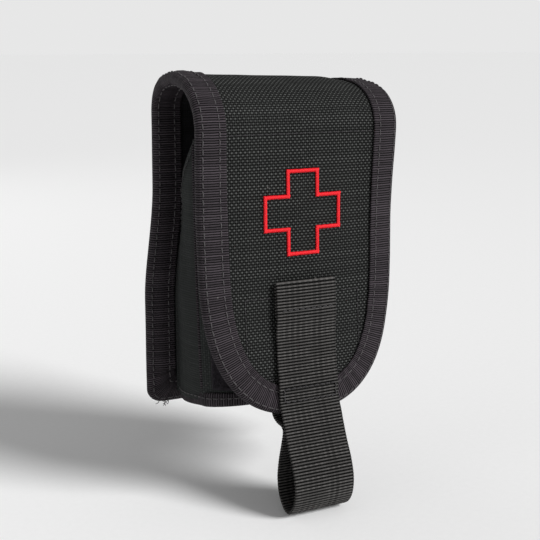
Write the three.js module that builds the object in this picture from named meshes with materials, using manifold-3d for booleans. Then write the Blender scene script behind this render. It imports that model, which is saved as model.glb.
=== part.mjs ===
// A belt pouch holding a stowed windlass tourniquet. Millimetres, +Z up, and the flap faces -Y.
// The origin is the middle of the belt tunnel, on the rear face of the back panel.
import * as THREE from 'three';
import { mergeVertices } from 'three/addons/utils/BufferGeometryUtils.js';
import Module from 'manifold-3d';

const wasm = await Module();
wasm.setup();

// ---- Driving dimensions ----
const HALF_WIDTH = 42; // back panel at its top, fold and flap shoulder
const BACK_BOTTOM = -59.5;
const BACK_TOP = 58; // where the fold starts to curve
const BACK_FLARE = 4; // extra half width of the lower back panel
const FLARE_FROM = 30;
const FLARE_TO = -18;
const BACK_CORNER = 5; // radius
const CROWN = { y: -20, z: 74.7 };
const FOLD_FRONT = { y: -45.9, z: 52 }; // where the fold runs into the flap
const FLAP_TIP = { y: -51.9, z: BACK_BOTTOM + 4.5 };
const FLAP_SHOULDER = { half: 41.3, z: 6.7 }; // below it the flap's outline is a superellipse
const FLAP_ROUNDNESS = 2.59;
const FLAP_BOW = 0.0015; // the flap's edges lie back by this times x squared
const HINGE_GAP = 0.3;
const TOUCH_GAP = 0.3;

const BINDING_WIDTH = 11; // on each face of a panel's edge
const BINDING = 0.7; // tape thickness
const EDGE_INSET = BINDING + TOUCH_GAP;

// Layers, as distances outwards from the outer face of the shell
const SHELL = [-0.8, 0];
const CORE = [-2.5, -1.1];
const LINING = [-3.4, -2.8];
const SIDE_FLANGE = -4.1; // middle of the pocket side's rear seam allowance, under the back binding
const HOOK_TAPE = [-5.9, -3.7];
const LOOP_TAPE = [-7.9, -6.2];
const POCKET_WALL = [-9.1, -8.3];

const FABRIC = 0.8;
const POCKET_TOP = 49;
const POCKET_FRONT_HALF = 35.5;
const LOOP_TAPE_HALF = 31;
const SIDE_BULGE = 38.5;
const POCKET_REAR = { y: -4.1, z: -55.6 }; // top face of the pocket bottom
const POCKET_TOE = { y: -43, z: -49.6 };
const POCKET_ROUND = 10.5; // how far the pocket front's sides fall back
const SIDE_CUT_REAR = { y: -3.5, z: 2 }; // free top edge of a pocket side
const SIDE_CUT_FRONT = { y: -26, z: POCKET_TOP };

const WEBBING_HALF = 12.7;
const WEBBING = 1.2;
const STRAP_TOP = -4.5;
const PINCH = { y: -56.3, z: -59.0 }; // the loop swings here, just under the flap's tip
const PINCH_SPREAD = 0.75; // each strand's middle from the pinch

const BELT_TUNNEL = { half: 30, depth: 8.2 };
const BELT_LOOP_HALF = 29;
const BELT_LOOP = 1.6;
const BELT_LOOP_END = 46;

const { smoothstep, lerp } = THREE.MathUtils;
const group = new THREE.Group();

// ---- Materials ----
const look = (color, roughness, metalness = 0) => new THREE.MeshStandardMaterial({ color, roughness, metalness });
const ballisticNylon = () => look('#37383a', 0.85);
const packCloth = () => look('#2f3133', 0.8);
const bindingTape = () => look('#343034', 0.75);
const webbing = () => look('#3a3939', 0.8);
const liningCloth = () => look('#1d1d20', 0.7);
const closedFoam = () => look('#27282a', 0.95);
const fastener = () => look('#232024', 0.95);

// ---- Solids ----
function toSolid(geometry) {
  const bare = geometry.clone();
  bare.deleteAttribute('normal');
  bare.deleteAttribute('uv');
  const merged = mergeVertices(bare, 1e-4);
  return new wasm.Manifold(new wasm.Mesh({
    numProp: 3,
    vertProperties: merged.attributes.position.array,
    triVerts: new Uint32Array(merged.index.array),
  }));
}

function toGeometry(solid) {
  const mesh = solid.getMesh();
  const geometry = new THREE.BufferGeometry();
  geometry.setAttribute('position', new THREE.BufferAttribute(mesh.vertProperties, 3));
  geometry.setIndex(new THREE.BufferAttribute(mesh.triVerts, 1));
  geometry.computeVertexNormals();
  return geometry;
}

function add(name, geometry, material) {
  const mesh = new THREE.Mesh(geometry, material);
  mesh.name = name;
  group.add(mesh);
  return mesh;
}

const addSolid = (name, solid, material) => add(name, toGeometry(solid), material);

function mirrored(geometry) {
  const copy = geometry.clone().scale(-1, 1, 1);
  const index = copy.index.array;
  for (let i = 0; i < index.length; i += 3) {
    [index[i], index[i + 1]] = [index[i + 1], index[i]];
  }
  copy.computeVertexNormals();
  return copy;
}

// A flat block whose length is bent along a path of (y, z) points. Across is x, through is the
// distance outwards from the path, and settle moves a point of it backwards.
function bentPlate(path, { across, along, through, steps, settle = () => 0 }) {
  const size = [across, through, along].map(([from, to]) => to - from);
  const middle = [across, through, along].map(([from, to]) => (from + to) / 2);
  const block = new THREE.BoxGeometry(...size, steps[0], 1, steps[1]).translate(...middle);
  const length = path.getLength();
  const place = block.attributes.position;
  for (let i = 0; i < place.count; i += 1) {
    const x = place.getX(i);
    const outwards = place.getY(i);
    const station = THREE.MathUtils.clamp(place.getZ(i) / length, 0, 1);
    const point = path.getPointAt(station);
    const tangent = path.getTangentAt(station);
    const z = point.y - tangent.x * outwards;
    const y = point.x + tangent.y * outwards;
    place.setXYZ(i, x, y + settle(x, z), z);
  }
  return block;
}

// A shape drawn in the XZ plane, as a block from yBack forwards to yFront
function frontBlock(shape, yBack, yFront) {
  const block = new THREE.ExtrudeGeometry(shape, { depth: yBack - yFront, bevelEnabled: false });
  return block.rotateX(Math.PI / 2).translate(0, yBack, 0);
}

// A shape drawn in the YZ plane, as a block across x
function sideBlock(shape, xFrom, xTo) {
  const block = new THREE.ExtrudeGeometry(shape, { depth: xTo - xFrom, bevelEnabled: false });
  const turn = new THREE.Matrix4().set(0, 0, 1, 0, 1, 0, 0, 0, 0, 1, 0, 0, 0, 0, 0, 1);
  return block.applyMatrix4(turn).translate(xFrom, 0, 0);
}

function polygon(points) {
  return new THREE.Shape(points.map(([a, b]) => new THREE.Vector2(a, b)));
}

// ---- Side profile: the outer face of the one sheet that makes back panel, fold and flap ----
const profile = new THREE.Path();
profile.moveTo(0, BACK_BOTTOM);
profile.lineTo(0, BACK_TOP);
profile.bezierCurveTo(0, 67.5, -8, CROWN.z, CROWN.y, CROWN.z);
profile.bezierCurveTo(-33, CROWN.z, FOLD_FRONT.y, 65.5, FOLD_FRONT.y, FOLD_FRONT.z);
profile.quadraticCurveTo(FOLD_FRONT.y, -2, FLAP_TIP.y, FLAP_TIP.z);
const profileLength = profile.getLength();
const [, crownLength, foldLength] = profile.getCurveLengths();
const bendLength = profile.curves[1].getLength();
const backBend = crownLength - bendLength * 0.56; // the back hinge line, half way round the rear bend
const frontBend = crownLength + (foldLength - crownLength) * 0.6; // the front hinge line

const flapSettle = (x, z) => FLAP_BOW * x * x * (1 - smoothstep(z, 15, 60));
const pocketSettle = (x) => POCKET_ROUND * Math.abs(x / POCKET_FRONT_HALF) ** 5;

// Distance along the profile at which its front face reaches a height
function alongAt(height) {
  let [low, high] = [frontBend / profileLength, 1];
  for (let i = 0; i < 30; i += 1) {
    const middle = (low + high) / 2;
    [low, high] = profile.getPointAt(middle).y > height ? [middle, high] : [low, middle];
  }
  return low * profileLength;
}

function faceY(height) {
  return profile.getPointAt(alongAt(height) / profileLength).x;
}

// ---- Outlines seen from the front ----
const backHalf = (z) => HALF_WIDTH + BACK_FLARE * (1 - smoothstep(z, FLARE_TO, FLARE_FROM));
const CLEAR_ABOVE = 120;

function backOutline(inset) {
  const edge = [];
  const flareSteps = 8;
  for (let i = 0; i <= flareSteps; i += 1) {
    const z = lerp(FLARE_FROM, FLARE_TO, i / flareSteps);
    edge.push([backHalf(z) - inset, z]);
  }
  const wide = backHalf(FLARE_TO) - inset;
  const low = BACK_BOTTOM + inset;
  const corner = Math.max(BACK_CORNER - inset, 1);
  const cornerSteps = 5;
  for (let i = 0; i <= cornerSteps; i += 1) {
    const turn = (i / cornerSteps) * Math.PI / 2;
    edge.push([wide - corner + corner * Math.cos(turn), low + corner - corner * Math.sin(turn)]);
  }
  const right = [[HALF_WIDTH - inset, CLEAR_ABOVE], ...edge];
  const left = right.map(([x, z]) => [-x, z]).reverse();
  return polygon([...right, ...left]);
}

function flapOutline(inset) {
  const half = FLAP_SHOULDER.half - inset;
  const drop = FLAP_SHOULDER.z - FLAP_TIP.z - inset;
  const steps = 26;
  const points = [[-(HALF_WIDTH - inset), CLEAR_ABOVE], [-(HALF_WIDTH - inset), FOLD_FRONT.z]];
  for (let i = 0; i <= steps; i += 1) {
    const turn = (i / steps) * Math.PI;
    const x = -Math.sign(Math.cos(turn)) * half * Math.abs(Math.cos(turn)) ** (2 / FLAP_ROUNDNESS);
    points.push([x, FLAP_SHOULDER.z - drop * Math.sin(turn) ** (2 / FLAP_ROUNDNESS)]);
  }
  points.push([HALF_WIDTH - inset, FOLD_FRONT.z], [HALF_WIDTH - inset, CLEAR_ABOVE]);
  return polygon(points);
}

const backCut = (inset) => toSolid(frontBlock(backOutline(inset), 10, -70));
const flapCut = (inset) => toSolid(frontBlock(flapOutline(inset), -20, -80));

// ---- Back panel ----
const BACK_RANGE = [0, backBend - HINGE_GAP / 2];
const BACK_STEPS = [1, 44];
const backPlate = (through, along = BACK_RANGE) => toSolid(
  bentPlate(profile, { across: [-60, 60], along, through, steps: BACK_STEPS }),
);
const backLayer = (through) => backPlate(through).intersect(backCut(EDGE_INSET));

addSolid('back_shell', backLayer(SHELL), ballisticNylon());
addSolid('back_stiffener', backLayer(CORE), look('#1b1b1c', 0.5));
addSolid('back_lining', backLayer(LINING), liningCloth());

// The binding is a channel round the panel's edge. Its front leg also covers the pocket sides' seam
// allowance, and it is open along the bottom, where the pocket bottom joins the panel.
function makeBackBinding() {
  const innerLeg = SIDE_FLANGE - FABRIC / 2 - TOUCH_GAP;
  const tape = backPlate([innerLeg - BINDING, TOUCH_GAP + BINDING]).intersect(backCut(0));
  const hollow = backPlate([innerLeg, TOUCH_GAP], [0, BACK_RANGE[1] + 0.1]).intersect(backCut(BINDING));
  const pocketHalf = backHalf(BACK_BOTTOM) - BINDING_WIDTH;
  const pocketGap = toSolid(
    new THREE.BoxGeometry(2 * pocketHalf, 10, 40).translate(0, LINING[0] - TOUCH_GAP - 5, BACK_BOTTOM),
  );
  return tape.subtract(hollow).subtract(backCut(BINDING_WIDTH)).subtract(pocketGap);
}
addSolid('back_binding', makeBackBinding(), bindingTape());

// ---- Fold over the top ----
const FOLD_RANGE = [backBend + HINGE_GAP / 2, frontBend - HINGE_GAP / 2];
const FOLD_STEPS = [1, 14];
const foldPlate = (across, through, along = FOLD_RANGE) => bentPlate(
  profile,
  { across, along, through, steps: FOLD_STEPS },
);
const FOLD_HALF = HALF_WIDTH - EDGE_INSET;
add('fold_shell', foldPlate([-FOLD_HALF, FOLD_HALF], SHELL), ballisticNylon());
add('fold_foam', foldPlate([-FOLD_HALF, FOLD_HALF], CORE), closedFoam());
add('fold_lining', foldPlate([-FOLD_HALF, FOLD_HALF], LINING), liningCloth());

const channelOut = [LINING[0] - TOUCH_GAP - BINDING, TOUCH_GAP + BINDING];
const channelIn = [LINING[0] - TOUCH_GAP, TOUCH_GAP];
const foldBinding = toGeometry(
  toSolid(foldPlate([HALF_WIDTH - BINDING_WIDTH, HALF_WIDTH], channelOut)).subtract(
    toSolid(foldPlate([0, HALF_WIDTH - BINDING], channelIn, [FOLD_RANGE[0] - 1, FOLD_RANGE[1] + 1])),
  ),
);
add('fold_binding_right', foldBinding, bindingTape());
add('fold_binding_left', mirrored(foldBinding), bindingTape());

// ---- Flap ----
const FLAP_RANGE = [frontBend + HINGE_GAP / 2, profileLength + 2];
const FLAP_STEPS = [8, 14];
const flapPath = new THREE.Path();
flapPath.curves = [...profile.curves, new THREE.LineCurve(
  new THREE.Vector2(FLAP_TIP.y, FLAP_TIP.z),
  new THREE.Vector2(FLAP_TIP.y - 0.45, FLAP_TIP.z - 4),
)];
function flapPlate(through, along = FLAP_RANGE, across = [-45, 45], steps = FLAP_STEPS, settle = flapSettle) {
  return toSolid(bentPlate(flapPath, { across, along, through, steps, settle }));
}
const flapLayer = (through) => flapPlate(through).intersect(flapCut(EDGE_INSET));

addSolid('flap_shell', flapLayer(SHELL), ballisticNylon());
addSolid('flap_foam', flapLayer(CORE), closedFoam());
addSolid('flap_lining', flapLayer(LINING), liningCloth());
addSolid(
  'flap_binding',
  flapPlate(channelOut).intersect(flapCut(0))
    .subtract(flapPlate(channelIn, [FLAP_RANGE[0] - 1, FLAP_RANGE[1] + 1]).intersect(flapCut(BINDING)))
    .subtract(flapCut(BINDING_WIDTH)),
  bindingTape(),
);

const hookRange = [alongAt(-8), alongAt(-42)];
addSolid(
  'flap_hook_tape',
  flapPlate(HOOK_TAPE, hookRange, [-25.4, 25.4], [6, 6]).intersect(flapCut(BINDING_WIDTH + 1)),
  fastener(),
);

// An even-armed cross, stitched as an outline
const CROSS = { z: 22, reach: 15.5, arm: 6.15, stitch: 1.4 };
function crossOutline(grow) {
  const reach = CROSS.reach + grow;
  const arm = CROSS.arm + grow;
  const quarter = [[reach, -arm], [reach, arm], [arm, arm]];
  const points = [];
  for (let turn = 0; turn < 4; turn += 1) {
    const [cos, sin] = [[1, 0], [0, 1], [-1, 0], [0, -1]][turn];
    quarter.forEach(([a, b]) => points.push([a * cos - b * sin, a * sin + b * cos + CROSS.z]));
  }
  return polygon(points);
}
const crossCut = (grow) => toSolid(frontBlock(crossOutline(grow), -20, -80));
addSolid(
  'medical_cross',
  flapPlate([TOUCH_GAP, TOUCH_GAP + 0.6], [alongAt(42), alongAt(2)], [-20, 20], [4, 6])
    .intersect(crossCut(CROSS.stitch / 2).subtract(crossCut(-CROSS.stitch / 2))),
  look('#d1151c', 0.55),
);

// ---- Pull strap, sewn down the flap and on round a loop ----
function flapPoint(height, outwards) {
  const station = alongAt(height) / profileLength;
  const point = profile.getPointAt(station);
  const tangent = profile.getTangentAt(station);
  return new THREE.Vector2(point.x + tangent.y * outwards, point.y - tangent.x * outwards);
}

const strapPoints = [];
const ON_SHELL = TOUCH_GAP + WEBBING / 2;
const ON_BINDING = channelOut[1] + TOUCH_GAP + WEBBING / 2;
const STRAP_LIFT = { from: -36, to: -41.3 }; // it climbs from the shell on to the binding
for (const height of [STRAP_TOP, -15, -25, -34, -38, -41.5, -46, -50]) {
  const climb = smoothstep(-height, -STRAP_LIFT.from, -STRAP_LIFT.to);
  strapPoints.push(flapPoint(height, lerp(ON_SHELL, ON_BINDING, climb)));
}
const SWING_CLEARANCE = 2.0; // the sewn strands stop this far above the pinch
const at = (y, z) => new THREE.Vector2(y, z);
strapPoints.push(at(-55.3, -54));
strapPoints.push(at(PINCH.y - PINCH_SPREAD, PINCH.z + SWING_CLEARANCE));
const strapPath = new THREE.SplineCurve(strapPoints);
function webbingStrip(path, steps) {
  const through = [-WEBBING / 2, WEBBING / 2];
  return bentPlate(path, {
    across: [-WEBBING_HALF, WEBBING_HALF], along: [0, path.getLength()], through, steps: [1, steps],
  });
}
add('pull_strap', webbingStrip(strapPath, 22), webbing());

const BOW_ALLOWANCE = 0.35; // the flap's bow brings its lining this much nearer at the strap's edges
const BEHIND_LINING = channelOut[0] - TOUCH_GAP - BOW_ALLOWANCE - WEBBING / 2;
const tailPath = new THREE.SplineCurve([
  flapPoint(-45.5, BEHIND_LINING),
  flapPoint(-50, BEHIND_LINING),
  flapPoint(-52.5, BEHIND_LINING),
  at(-46.9, -56.0),
  at(-50.4, -57.1),
  at(-54.6, -57.1),
]);
add('pull_strap_tail', webbingStrip(tailPath, 10), webbing());

const loopPath = new THREE.SplineCurve([
  at(PINCH.y - PINCH_SPREAD, PINCH.z - 0.2),
  at(-59.9, -65.5),
  at(-63.6, -72.5),
  at(-65.4, -80),
  at(-63.6, -87.5),
  at(-58.6, -91.2),
  at(-53.4, -87.8),
  at(-51.2, -80.5),
  at(-52.2, -72.5),
  at(-54.2, -65.5),
  at(PINCH.y + PINCH_SPREAD, PINCH.z - 0.2),
]);
add('pull_loop', webbingStrip(loopPath, 34), webbing());

// ---- Belt loop ----
function makeBeltLoop() {
  const sewn = TOUCH_GAP + BELT_LOOP / 2;
  const out = BELT_TUNNEL.depth + BELT_LOOP / 2;
  const rise = 38;
  const path = new THREE.Path();
  path.moveTo(sewn, -BELT_LOOP_END);
  path.lineTo(sewn, -rise);
  path.bezierCurveTo(sewn, -BELT_TUNNEL.half - 4, out, -rise + 2, out, -BELT_TUNNEL.half);
  path.lineTo(out, BELT_TUNNEL.half);
  path.bezierCurveTo(out, rise - 2, sewn, BELT_TUNNEL.half + 4, sewn, rise);
  path.lineTo(sewn, BELT_LOOP_END);
  const total = path.getLength();
  return bentPlate(path, {
    across: [-BELT_LOOP_HALF, BELT_LOOP_HALF],
    along: [0, total],
    through: [-BELT_LOOP / 2, BELT_LOOP / 2],
    steps: [1, 60],
  });
}
add('belt_loop', makeBeltLoop(), ballisticNylon());

// ---- Pocket ----
const bottomSlope = (POCKET_TOE.z - POCKET_REAR.z) / (POCKET_TOE.y - POCKET_REAR.y);
const bottomZ = (y) => POCKET_REAR.z + bottomSlope * (y - POCKET_REAR.y);
function slopedSlab(under, over) {
  const [rear, toe] = [5, -60];
  const corners = [
    [rear, bottomZ(rear) + over], [toe, bottomZ(toe) + over],
    [toe, bottomZ(toe) - under], [rear, bottomZ(rear) - under],
  ];
  return toSolid(sideBlock(polygon(corners), -60, 60));
}

const pocketRange = [alongAt(POCKET_TOP), profileLength];
const frontAcross = [-POCKET_FRONT_HALF, POCKET_FRONT_HALF];
addSolid(
  'pocket_front',
  flapPlate(POCKET_WALL, pocketRange, frontAcross, [16, 8], pocketSettle).subtract(slopedSlab(20, TOUCH_GAP)),
  packCloth(),
);
addSolid(
  'pocket_loop_tape',
  flapPlate(LOOP_TAPE, [alongAt(-6), alongAt(-44)], [-LOOP_TAPE_HALF, LOOP_TAPE_HALF], [14, 5], pocketSettle),
  fastener(),
);

// Plan of the right pocket side at a height: the middle line of its rear seam allowance, its bend,
// and its bulging wall, which ends just behind the edge of the pocket front.
function sidePlan(z) {
  const rootX = backHalf(z) - BINDING_WIDTH - 1.6;
  const cornerY = faceY(z) - POCKET_WALL[0] + POCKET_ROUND + TOUCH_GAP;
  const plan = new THREE.Path();
  plan.moveTo(backHalf(z) - 2, SIDE_FLANGE);
  plan.lineTo(rootX + 1, SIDE_FLANGE);
  plan.quadraticCurveTo(rootX, SIDE_FLANGE, rootX, SIDE_FLANGE - 1.4);
  plan.bezierCurveTo(rootX + 3, -12, SIDE_BULGE, -19, POCKET_FRONT_HALF - FABRIC, cornerY);
  return plan;
}

const SIDE_STEPS = { round: 20, up: 10 };
function sideWall(through) {
  const [low, high] = [BACK_BOTTOM, POCKET_TOP + 3];
  const block = new THREE.BoxGeometry(1, through[1] - through[0], high - low, SIDE_STEPS.round, 1, SIDE_STEPS.up);
  block.translate(0.5, (through[0] + through[1]) / 2, (low + high) / 2);
  const plans = new Map();
  const place = block.attributes.position;
  for (let i = 0; i < place.count; i += 1) {
    const z = place.getZ(i);
    const key = z.toFixed(3);
    if (!plans.has(key)) plans.set(key, sidePlan(z));
    const plan = plans.get(key);
    const station = THREE.MathUtils.clamp(place.getX(i), 0, 1);
    const point = plan.getPointAt(station);
    const tangent = plan.getTangentAt(station);
    const outwards = place.getY(i);
    place.setXYZ(i, point.x - tangent.y * outwards, point.y + tangent.x * outwards, z);
  }
  return toSolid(block);
}

// The part of a side wall that stands between the pocket bottom and its slanting free edge
function sideCut() {
  const foot = (y) => [y, bottomZ(y) + TOUCH_GAP];
  const [rear, front] = [2, -60];
  const corners = [
    foot(rear), [rear, SIDE_CUT_REAR.z], [SIDE_CUT_REAR.y, SIDE_CUT_REAR.z],
    [SIDE_CUT_FRONT.y, SIDE_CUT_FRONT.z], [front, SIDE_CUT_FRONT.z], foot(front),
  ];
  return toSolid(sideBlock(polygon(corners), 10, 60));
}
const pocketSide = toGeometry(
  sideWall([-FABRIC / 2, FABRIC / 2]).intersect(sideCut()).intersect(backCut(EDGE_INSET)),
);
add('pocket_side_right', pocketSide, packCloth());
add('pocket_side_left', mirrored(pocketSide), packCloth());

const WRAP_EDGE = 0.4; // the pocket front's cut edge stands this far past the side wall

// Plan of the whole pocket at its foot, grown outwards from the walls' outer faces
function footPlan(grow, yRear) {
  const plan = sidePlan(POCKET_TOE.z);
  const frontY = faceY(POCKET_TOE.z) - POCKET_WALL[1];
  const [wallFrom, steps] = [0.35, 22];
  const right = [];
  for (let i = 0; i <= steps; i += 1) {
    const station = lerp(wallFrom, 1, i / steps);
    const point = plan.getPointAt(station);
    const tangent = plan.getTangentAt(station);
    const outwards = FABRIC / 2 + grow;
    const [x, y] = [point.x - tangent.y * outwards, point.y + tangent.x * outwards];
    if (y < yRear - 0.5 && y > frontY + POCKET_ROUND + 2) right.push([x, y]);
  }
  right.unshift([right[0][0] - 0.3, yRear]);
  const front = [];
  const frontSteps = 12;
  for (let i = 0; i <= frontSteps; i += 1) {
    const x = lerp(POCKET_FRONT_HALF, 0, i / frontSteps);
    const slope = 5 * POCKET_ROUND / POCKET_FRONT_HALF * (x / POCKET_FRONT_HALF) ** 4;
    const lean = Math.hypot(1, slope);
    const overlap = WRAP_EDGE * x / POCKET_FRONT_HALF;
    front.push([x + overlap + grow * slope / lean, frontY + pocketSettle(x) - grow / lean]);
  }
  const outline = [...right, ...front];
  const other = outline.slice(0, -1).map(([x, y]) => [-x, y]).reverse();
  return polygon([...outline, ...other]);
}

function footPrism(grow, yRear = POCKET_REAR.y) {
  const prism = new THREE.ExtrudeGeometry(footPlan(grow, yRear), { depth: 50, bevelEnabled: false });
  return toSolid(prism.translate(0, 0, -80));
}

const BOTTOM_THICKNESS = 1.2;
addSolid('pocket_bottom', footPrism(0).intersect(slopedSlab(BOTTOM_THICKNESS, 0)), packCloth());
const TAPE_REAR = -5.9;
addSolid(
  'pocket_bottom_binding',
  footPrism(EDGE_INSET, TAPE_REAR).intersect(slopedSlab(BOTTOM_THICKNESS + EDGE_INSET, 4.6))
    .subtract(footPrism(TOUCH_GAP, TAPE_REAR + 1).intersect(slopedSlab(BOTTOM_THICKNESS + TOUCH_GAP, 20)))
    .subtract(footPrism(-6, TAPE_REAR + 1)),
  bindingTape(),
);

// ---- Stowed tourniquet ----
const BAND_HALF = 19;
const BAND = 1.4;
const ROD = { y: -28.5, low: -50, high: 62, radius: 4.6, end: 5.2 };
const bandCloth = () => look('#17181a', 0.8);
const mouldedNylon = () => look('#101113', 0.45);

// The band lies in folds behind the plate. Its last run goes up, round the buckle's lower bar, and down.
const BUCKLE = { y: -19.1, z: 60, half: 23, height: 15, thick: 3, bar: 2.4 };
const BAR_TURN = 3;
function makeBandPath() {
  const pitch = 3.2;
  const firstRun = -6.5;
  const [low, high] = [-50, 42];
  const radius = pitch / 2;
  const path = new THREE.Path();
  path.moveTo(firstRun, high);
  const runs = 4;
  for (let run = 0; run < runs; run += 1) {
    const y = firstRun - run * pitch;
    const goesDown = run % 2 === 0;
    path.lineTo(y, goesDown ? low : high);
    if (run < runs - 1) {
      path.absarc(y - radius, goesDown ? low : high, radius, 0, goesDown ? -Math.PI : Math.PI, goesDown);
    }
  }
  const barZ = BUCKLE.z - BUCKLE.height / 2 + BUCKLE.bar / 2;
  path.lineTo(BUCKLE.y + BAR_TURN, barZ);
  path.absarc(BUCKLE.y, barZ, BAR_TURN, 0, Math.PI, false);
  path.lineTo(BUCKLE.y - BAR_TURN, 38);
  return path;
}
function bandStrip(path, half, steps) {
  return bentPlate(path, {
    across: [-half, half], along: [0, path.getLength()], through: [-BAND / 2, BAND / 2], steps: [1, steps],
  });
}
add('tourniquet_band', bandStrip(makeBandPath(), BAND_HALF, 130), bandCloth());

const tipPath = new THREE.SplineCurve([at(-6.5, 42.4), at(-6.6, 50), at(-8.2, 57), at(-11.2, 62.5)]);
add('tourniquet_band_tip', bandStrip(tipPath, BAND_HALF, 8), look('#b3121a', 0.7));

function roundedRect(half, height, corner, z) {
  const shape = new THREE.Shape();
  const [low, high] = [z - height / 2, z + height / 2];
  shape.moveTo(-half + corner, low);
  shape.lineTo(half - corner, low);
  shape.absarc(half - corner, low + corner, corner, -Math.PI / 2, 0, false);
  shape.lineTo(half, high - corner);
  shape.absarc(half - corner, high - corner, corner, 0, Math.PI / 2, false);
  shape.lineTo(-half + corner, high);
  shape.absarc(-half + corner, high - corner, corner, Math.PI / 2, Math.PI, false);
  shape.lineTo(-half, low + corner);
  shape.absarc(-half + corner, low + corner, corner, Math.PI, Math.PI * 1.5, false);
  return shape;
}

function makeBuckle() {
  const frame = roundedRect(BUCKLE.half, BUCKLE.height, 2.5, BUCKLE.z);
  const slotHeight = (BUCKLE.height - 3 * BUCKLE.bar) / 2;
  for (const side of [-1, 1]) {
    const z = BUCKLE.z + side * (slotHeight + BUCKLE.bar) / 2;
    frame.holes.push(new THREE.Path(roundedRect(BUCKLE.half - BUCKLE.bar, slotHeight, 1, z).getPoints(4)));
  }
  const back = BUCKLE.y + BUCKLE.thick / 2;
  const block = new THREE.ExtrudeGeometry(frame, { depth: BUCKLE.thick, bevelEnabled: false, curveSegments: 4 });
  return block.rotateX(Math.PI / 2).translate(0, back, 0);
}
add('tourniquet_buckle', makeBuckle(), mouldedNylon());

const PLATE = { y: -19.4, thick: 1.6, half: 20.5, low: -44, high: 33 };
function makeStabiliser() {
  const plate = roundedRect(PLATE.half, PLATE.high - PLATE.low, 6, (PLATE.high + PLATE.low) / 2);
  for (const side of [-1, 1]) {
    const slot = roundedRect(1.6, 20, 1.2, 0).getPoints(3);
    plate.holes.push(new THREE.Path(slot.map((p) => p.clone().add(at(side * 11, 0)))));
  }
  const block = new THREE.ExtrudeGeometry(plate, { depth: PLATE.thick, bevelEnabled: false, curveSegments: 5 });
  return block.rotateX(Math.PI / 2).translate(0, PLATE.y, 0);
}
add('tourniquet_stabiliser', makeStabiliser(), mouldedNylon());

// The rod: grip rings towards both ends, and a long slot for the inner strap through its middle
const SLOT = { height: 21, gap: 2.4 };
function makeRod() {
  const { low, high, radius, end } = ROD;
  const outline = [[0, low], [end - 1.6, low], [end - 0.3, low + 1.5], [end, low + 4], [end - 0.3, low + 6.5]];
  const ring = (z) => [[radius, z], [radius + 0.5, z + 0.8], [radius + 0.5, z + 2.2], [radius, z + 3]];
  for (let i = 0; i < 4; i += 1) outline.push(...ring(low + 10 + i * 6));
  outline.push([radius, -13], [radius + 0.4, -10], [radius + 0.4, 10], [radius, 13]);
  for (let i = 0; i < 4; i += 1) outline.push(...ring(high - 31 + i * 6));
  outline.push([end - 0.3, high - 6.5], [end, high - 4], [end - 0.3, high - 1.5], [end - 1.6, high], [0, high]);
  const lathe = new THREE.LatheGeometry(outline.map(([r, z]) => at(r, z)), 16);
  const rod = toSolid(lathe.rotateX(Math.PI / 2).translate(0, ROD.y, 0));
  const slot = toSolid(new THREE.BoxGeometry(20, SLOT.gap, SLOT.height).translate(0, ROD.y, 0));
  return rod.subtract(slot);
}
addSolid('tourniquet_windlass_rod', makeRod(), mouldedNylon());

// Ribbon whose path is drawn in plan, and whose width runs up the z axis
function uprightRibbon(points, thickness, low, high, steps) {
  const path = new THREE.SplineCurve(points);
  const outer = [];
  const inner = [];
  for (let i = 0; i <= steps; i += 1) {
    const point = path.getPointAt(i / steps);
    const tangent = path.getTangentAt(i / steps);
    const normal = at(-tangent.y, tangent.x).multiplyScalar(thickness / 2);
    outer.push(point.clone().add(normal));
    inner.unshift(point.clone().sub(normal));
  }
  const block = new THREE.ExtrudeGeometry(new THREE.Shape([...outer, ...inner]), {
    depth: high - low, bevelEnabled: false,
  });
  return block.translate(0, 0, low);
}
const innerStrapPoints = [
  at(-11, -18.3), at(-11, -20.5), at(-10, -24.5), at(-7.5, -28), at(-4.5, ROD.y),
  at(0, ROD.y),
  at(4.5, ROD.y), at(7.5, -28), at(10, -24.5), at(11, -20.5), at(11, -18.3),
];
add('tourniquet_inner_strap', uprightRibbon(innerStrapPoints, 1.2, -9, 9, 28), bandCloth());

const CLIP = { low: -42, high: -22, wall: 1.8, reach: 6.4 };
function makeClip() {
  const [inner, outer] = [CLIP.reach, CLIP.reach + CLIP.wall];
  const foot = PLATE.y - PLATE.thick - TOUCH_GAP;
  const lip = 3.4;
  const shape = new THREE.Shape();
  shape.moveTo(-outer - 3, foot);
  shape.lineTo(-outer - 3, foot - 1.5);
  shape.lineTo(-outer, foot - 1.5);
  shape.lineTo(-outer, ROD.y - 2);
  shape.quadraticCurveTo(-outer, ROD.y - 7.4, -lip, ROD.y - 7.6);
  shape.lineTo(-lip + 0.6, ROD.y - 6);
  shape.quadraticCurveTo(-inner, ROD.y - 5.6, -inner, ROD.y - 1);
  shape.lineTo(-inner, foot - 1.4);
  shape.lineTo(inner, foot - 1.4);
  shape.lineTo(inner, ROD.y - 1);
  shape.quadraticCurveTo(inner, ROD.y - 5.6, lip - 0.6, ROD.y - 6);
  shape.lineTo(lip, ROD.y - 7.6);
  shape.quadraticCurveTo(outer, ROD.y - 7.4, outer, ROD.y - 2);
  shape.lineTo(outer, foot - 1.5);
  shape.lineTo(outer + 3, foot - 1.5);
  shape.lineTo(outer + 3, foot);
  const block = new THREE.ExtrudeGeometry(shape, {
    depth: CLIP.high - CLIP.low, bevelEnabled: false, curveSegments: 5,
  });
  return block.translate(0, 0, CLIP.low);
}
add('tourniquet_windlass_clip', makeClip(), mouldedNylon());

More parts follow.
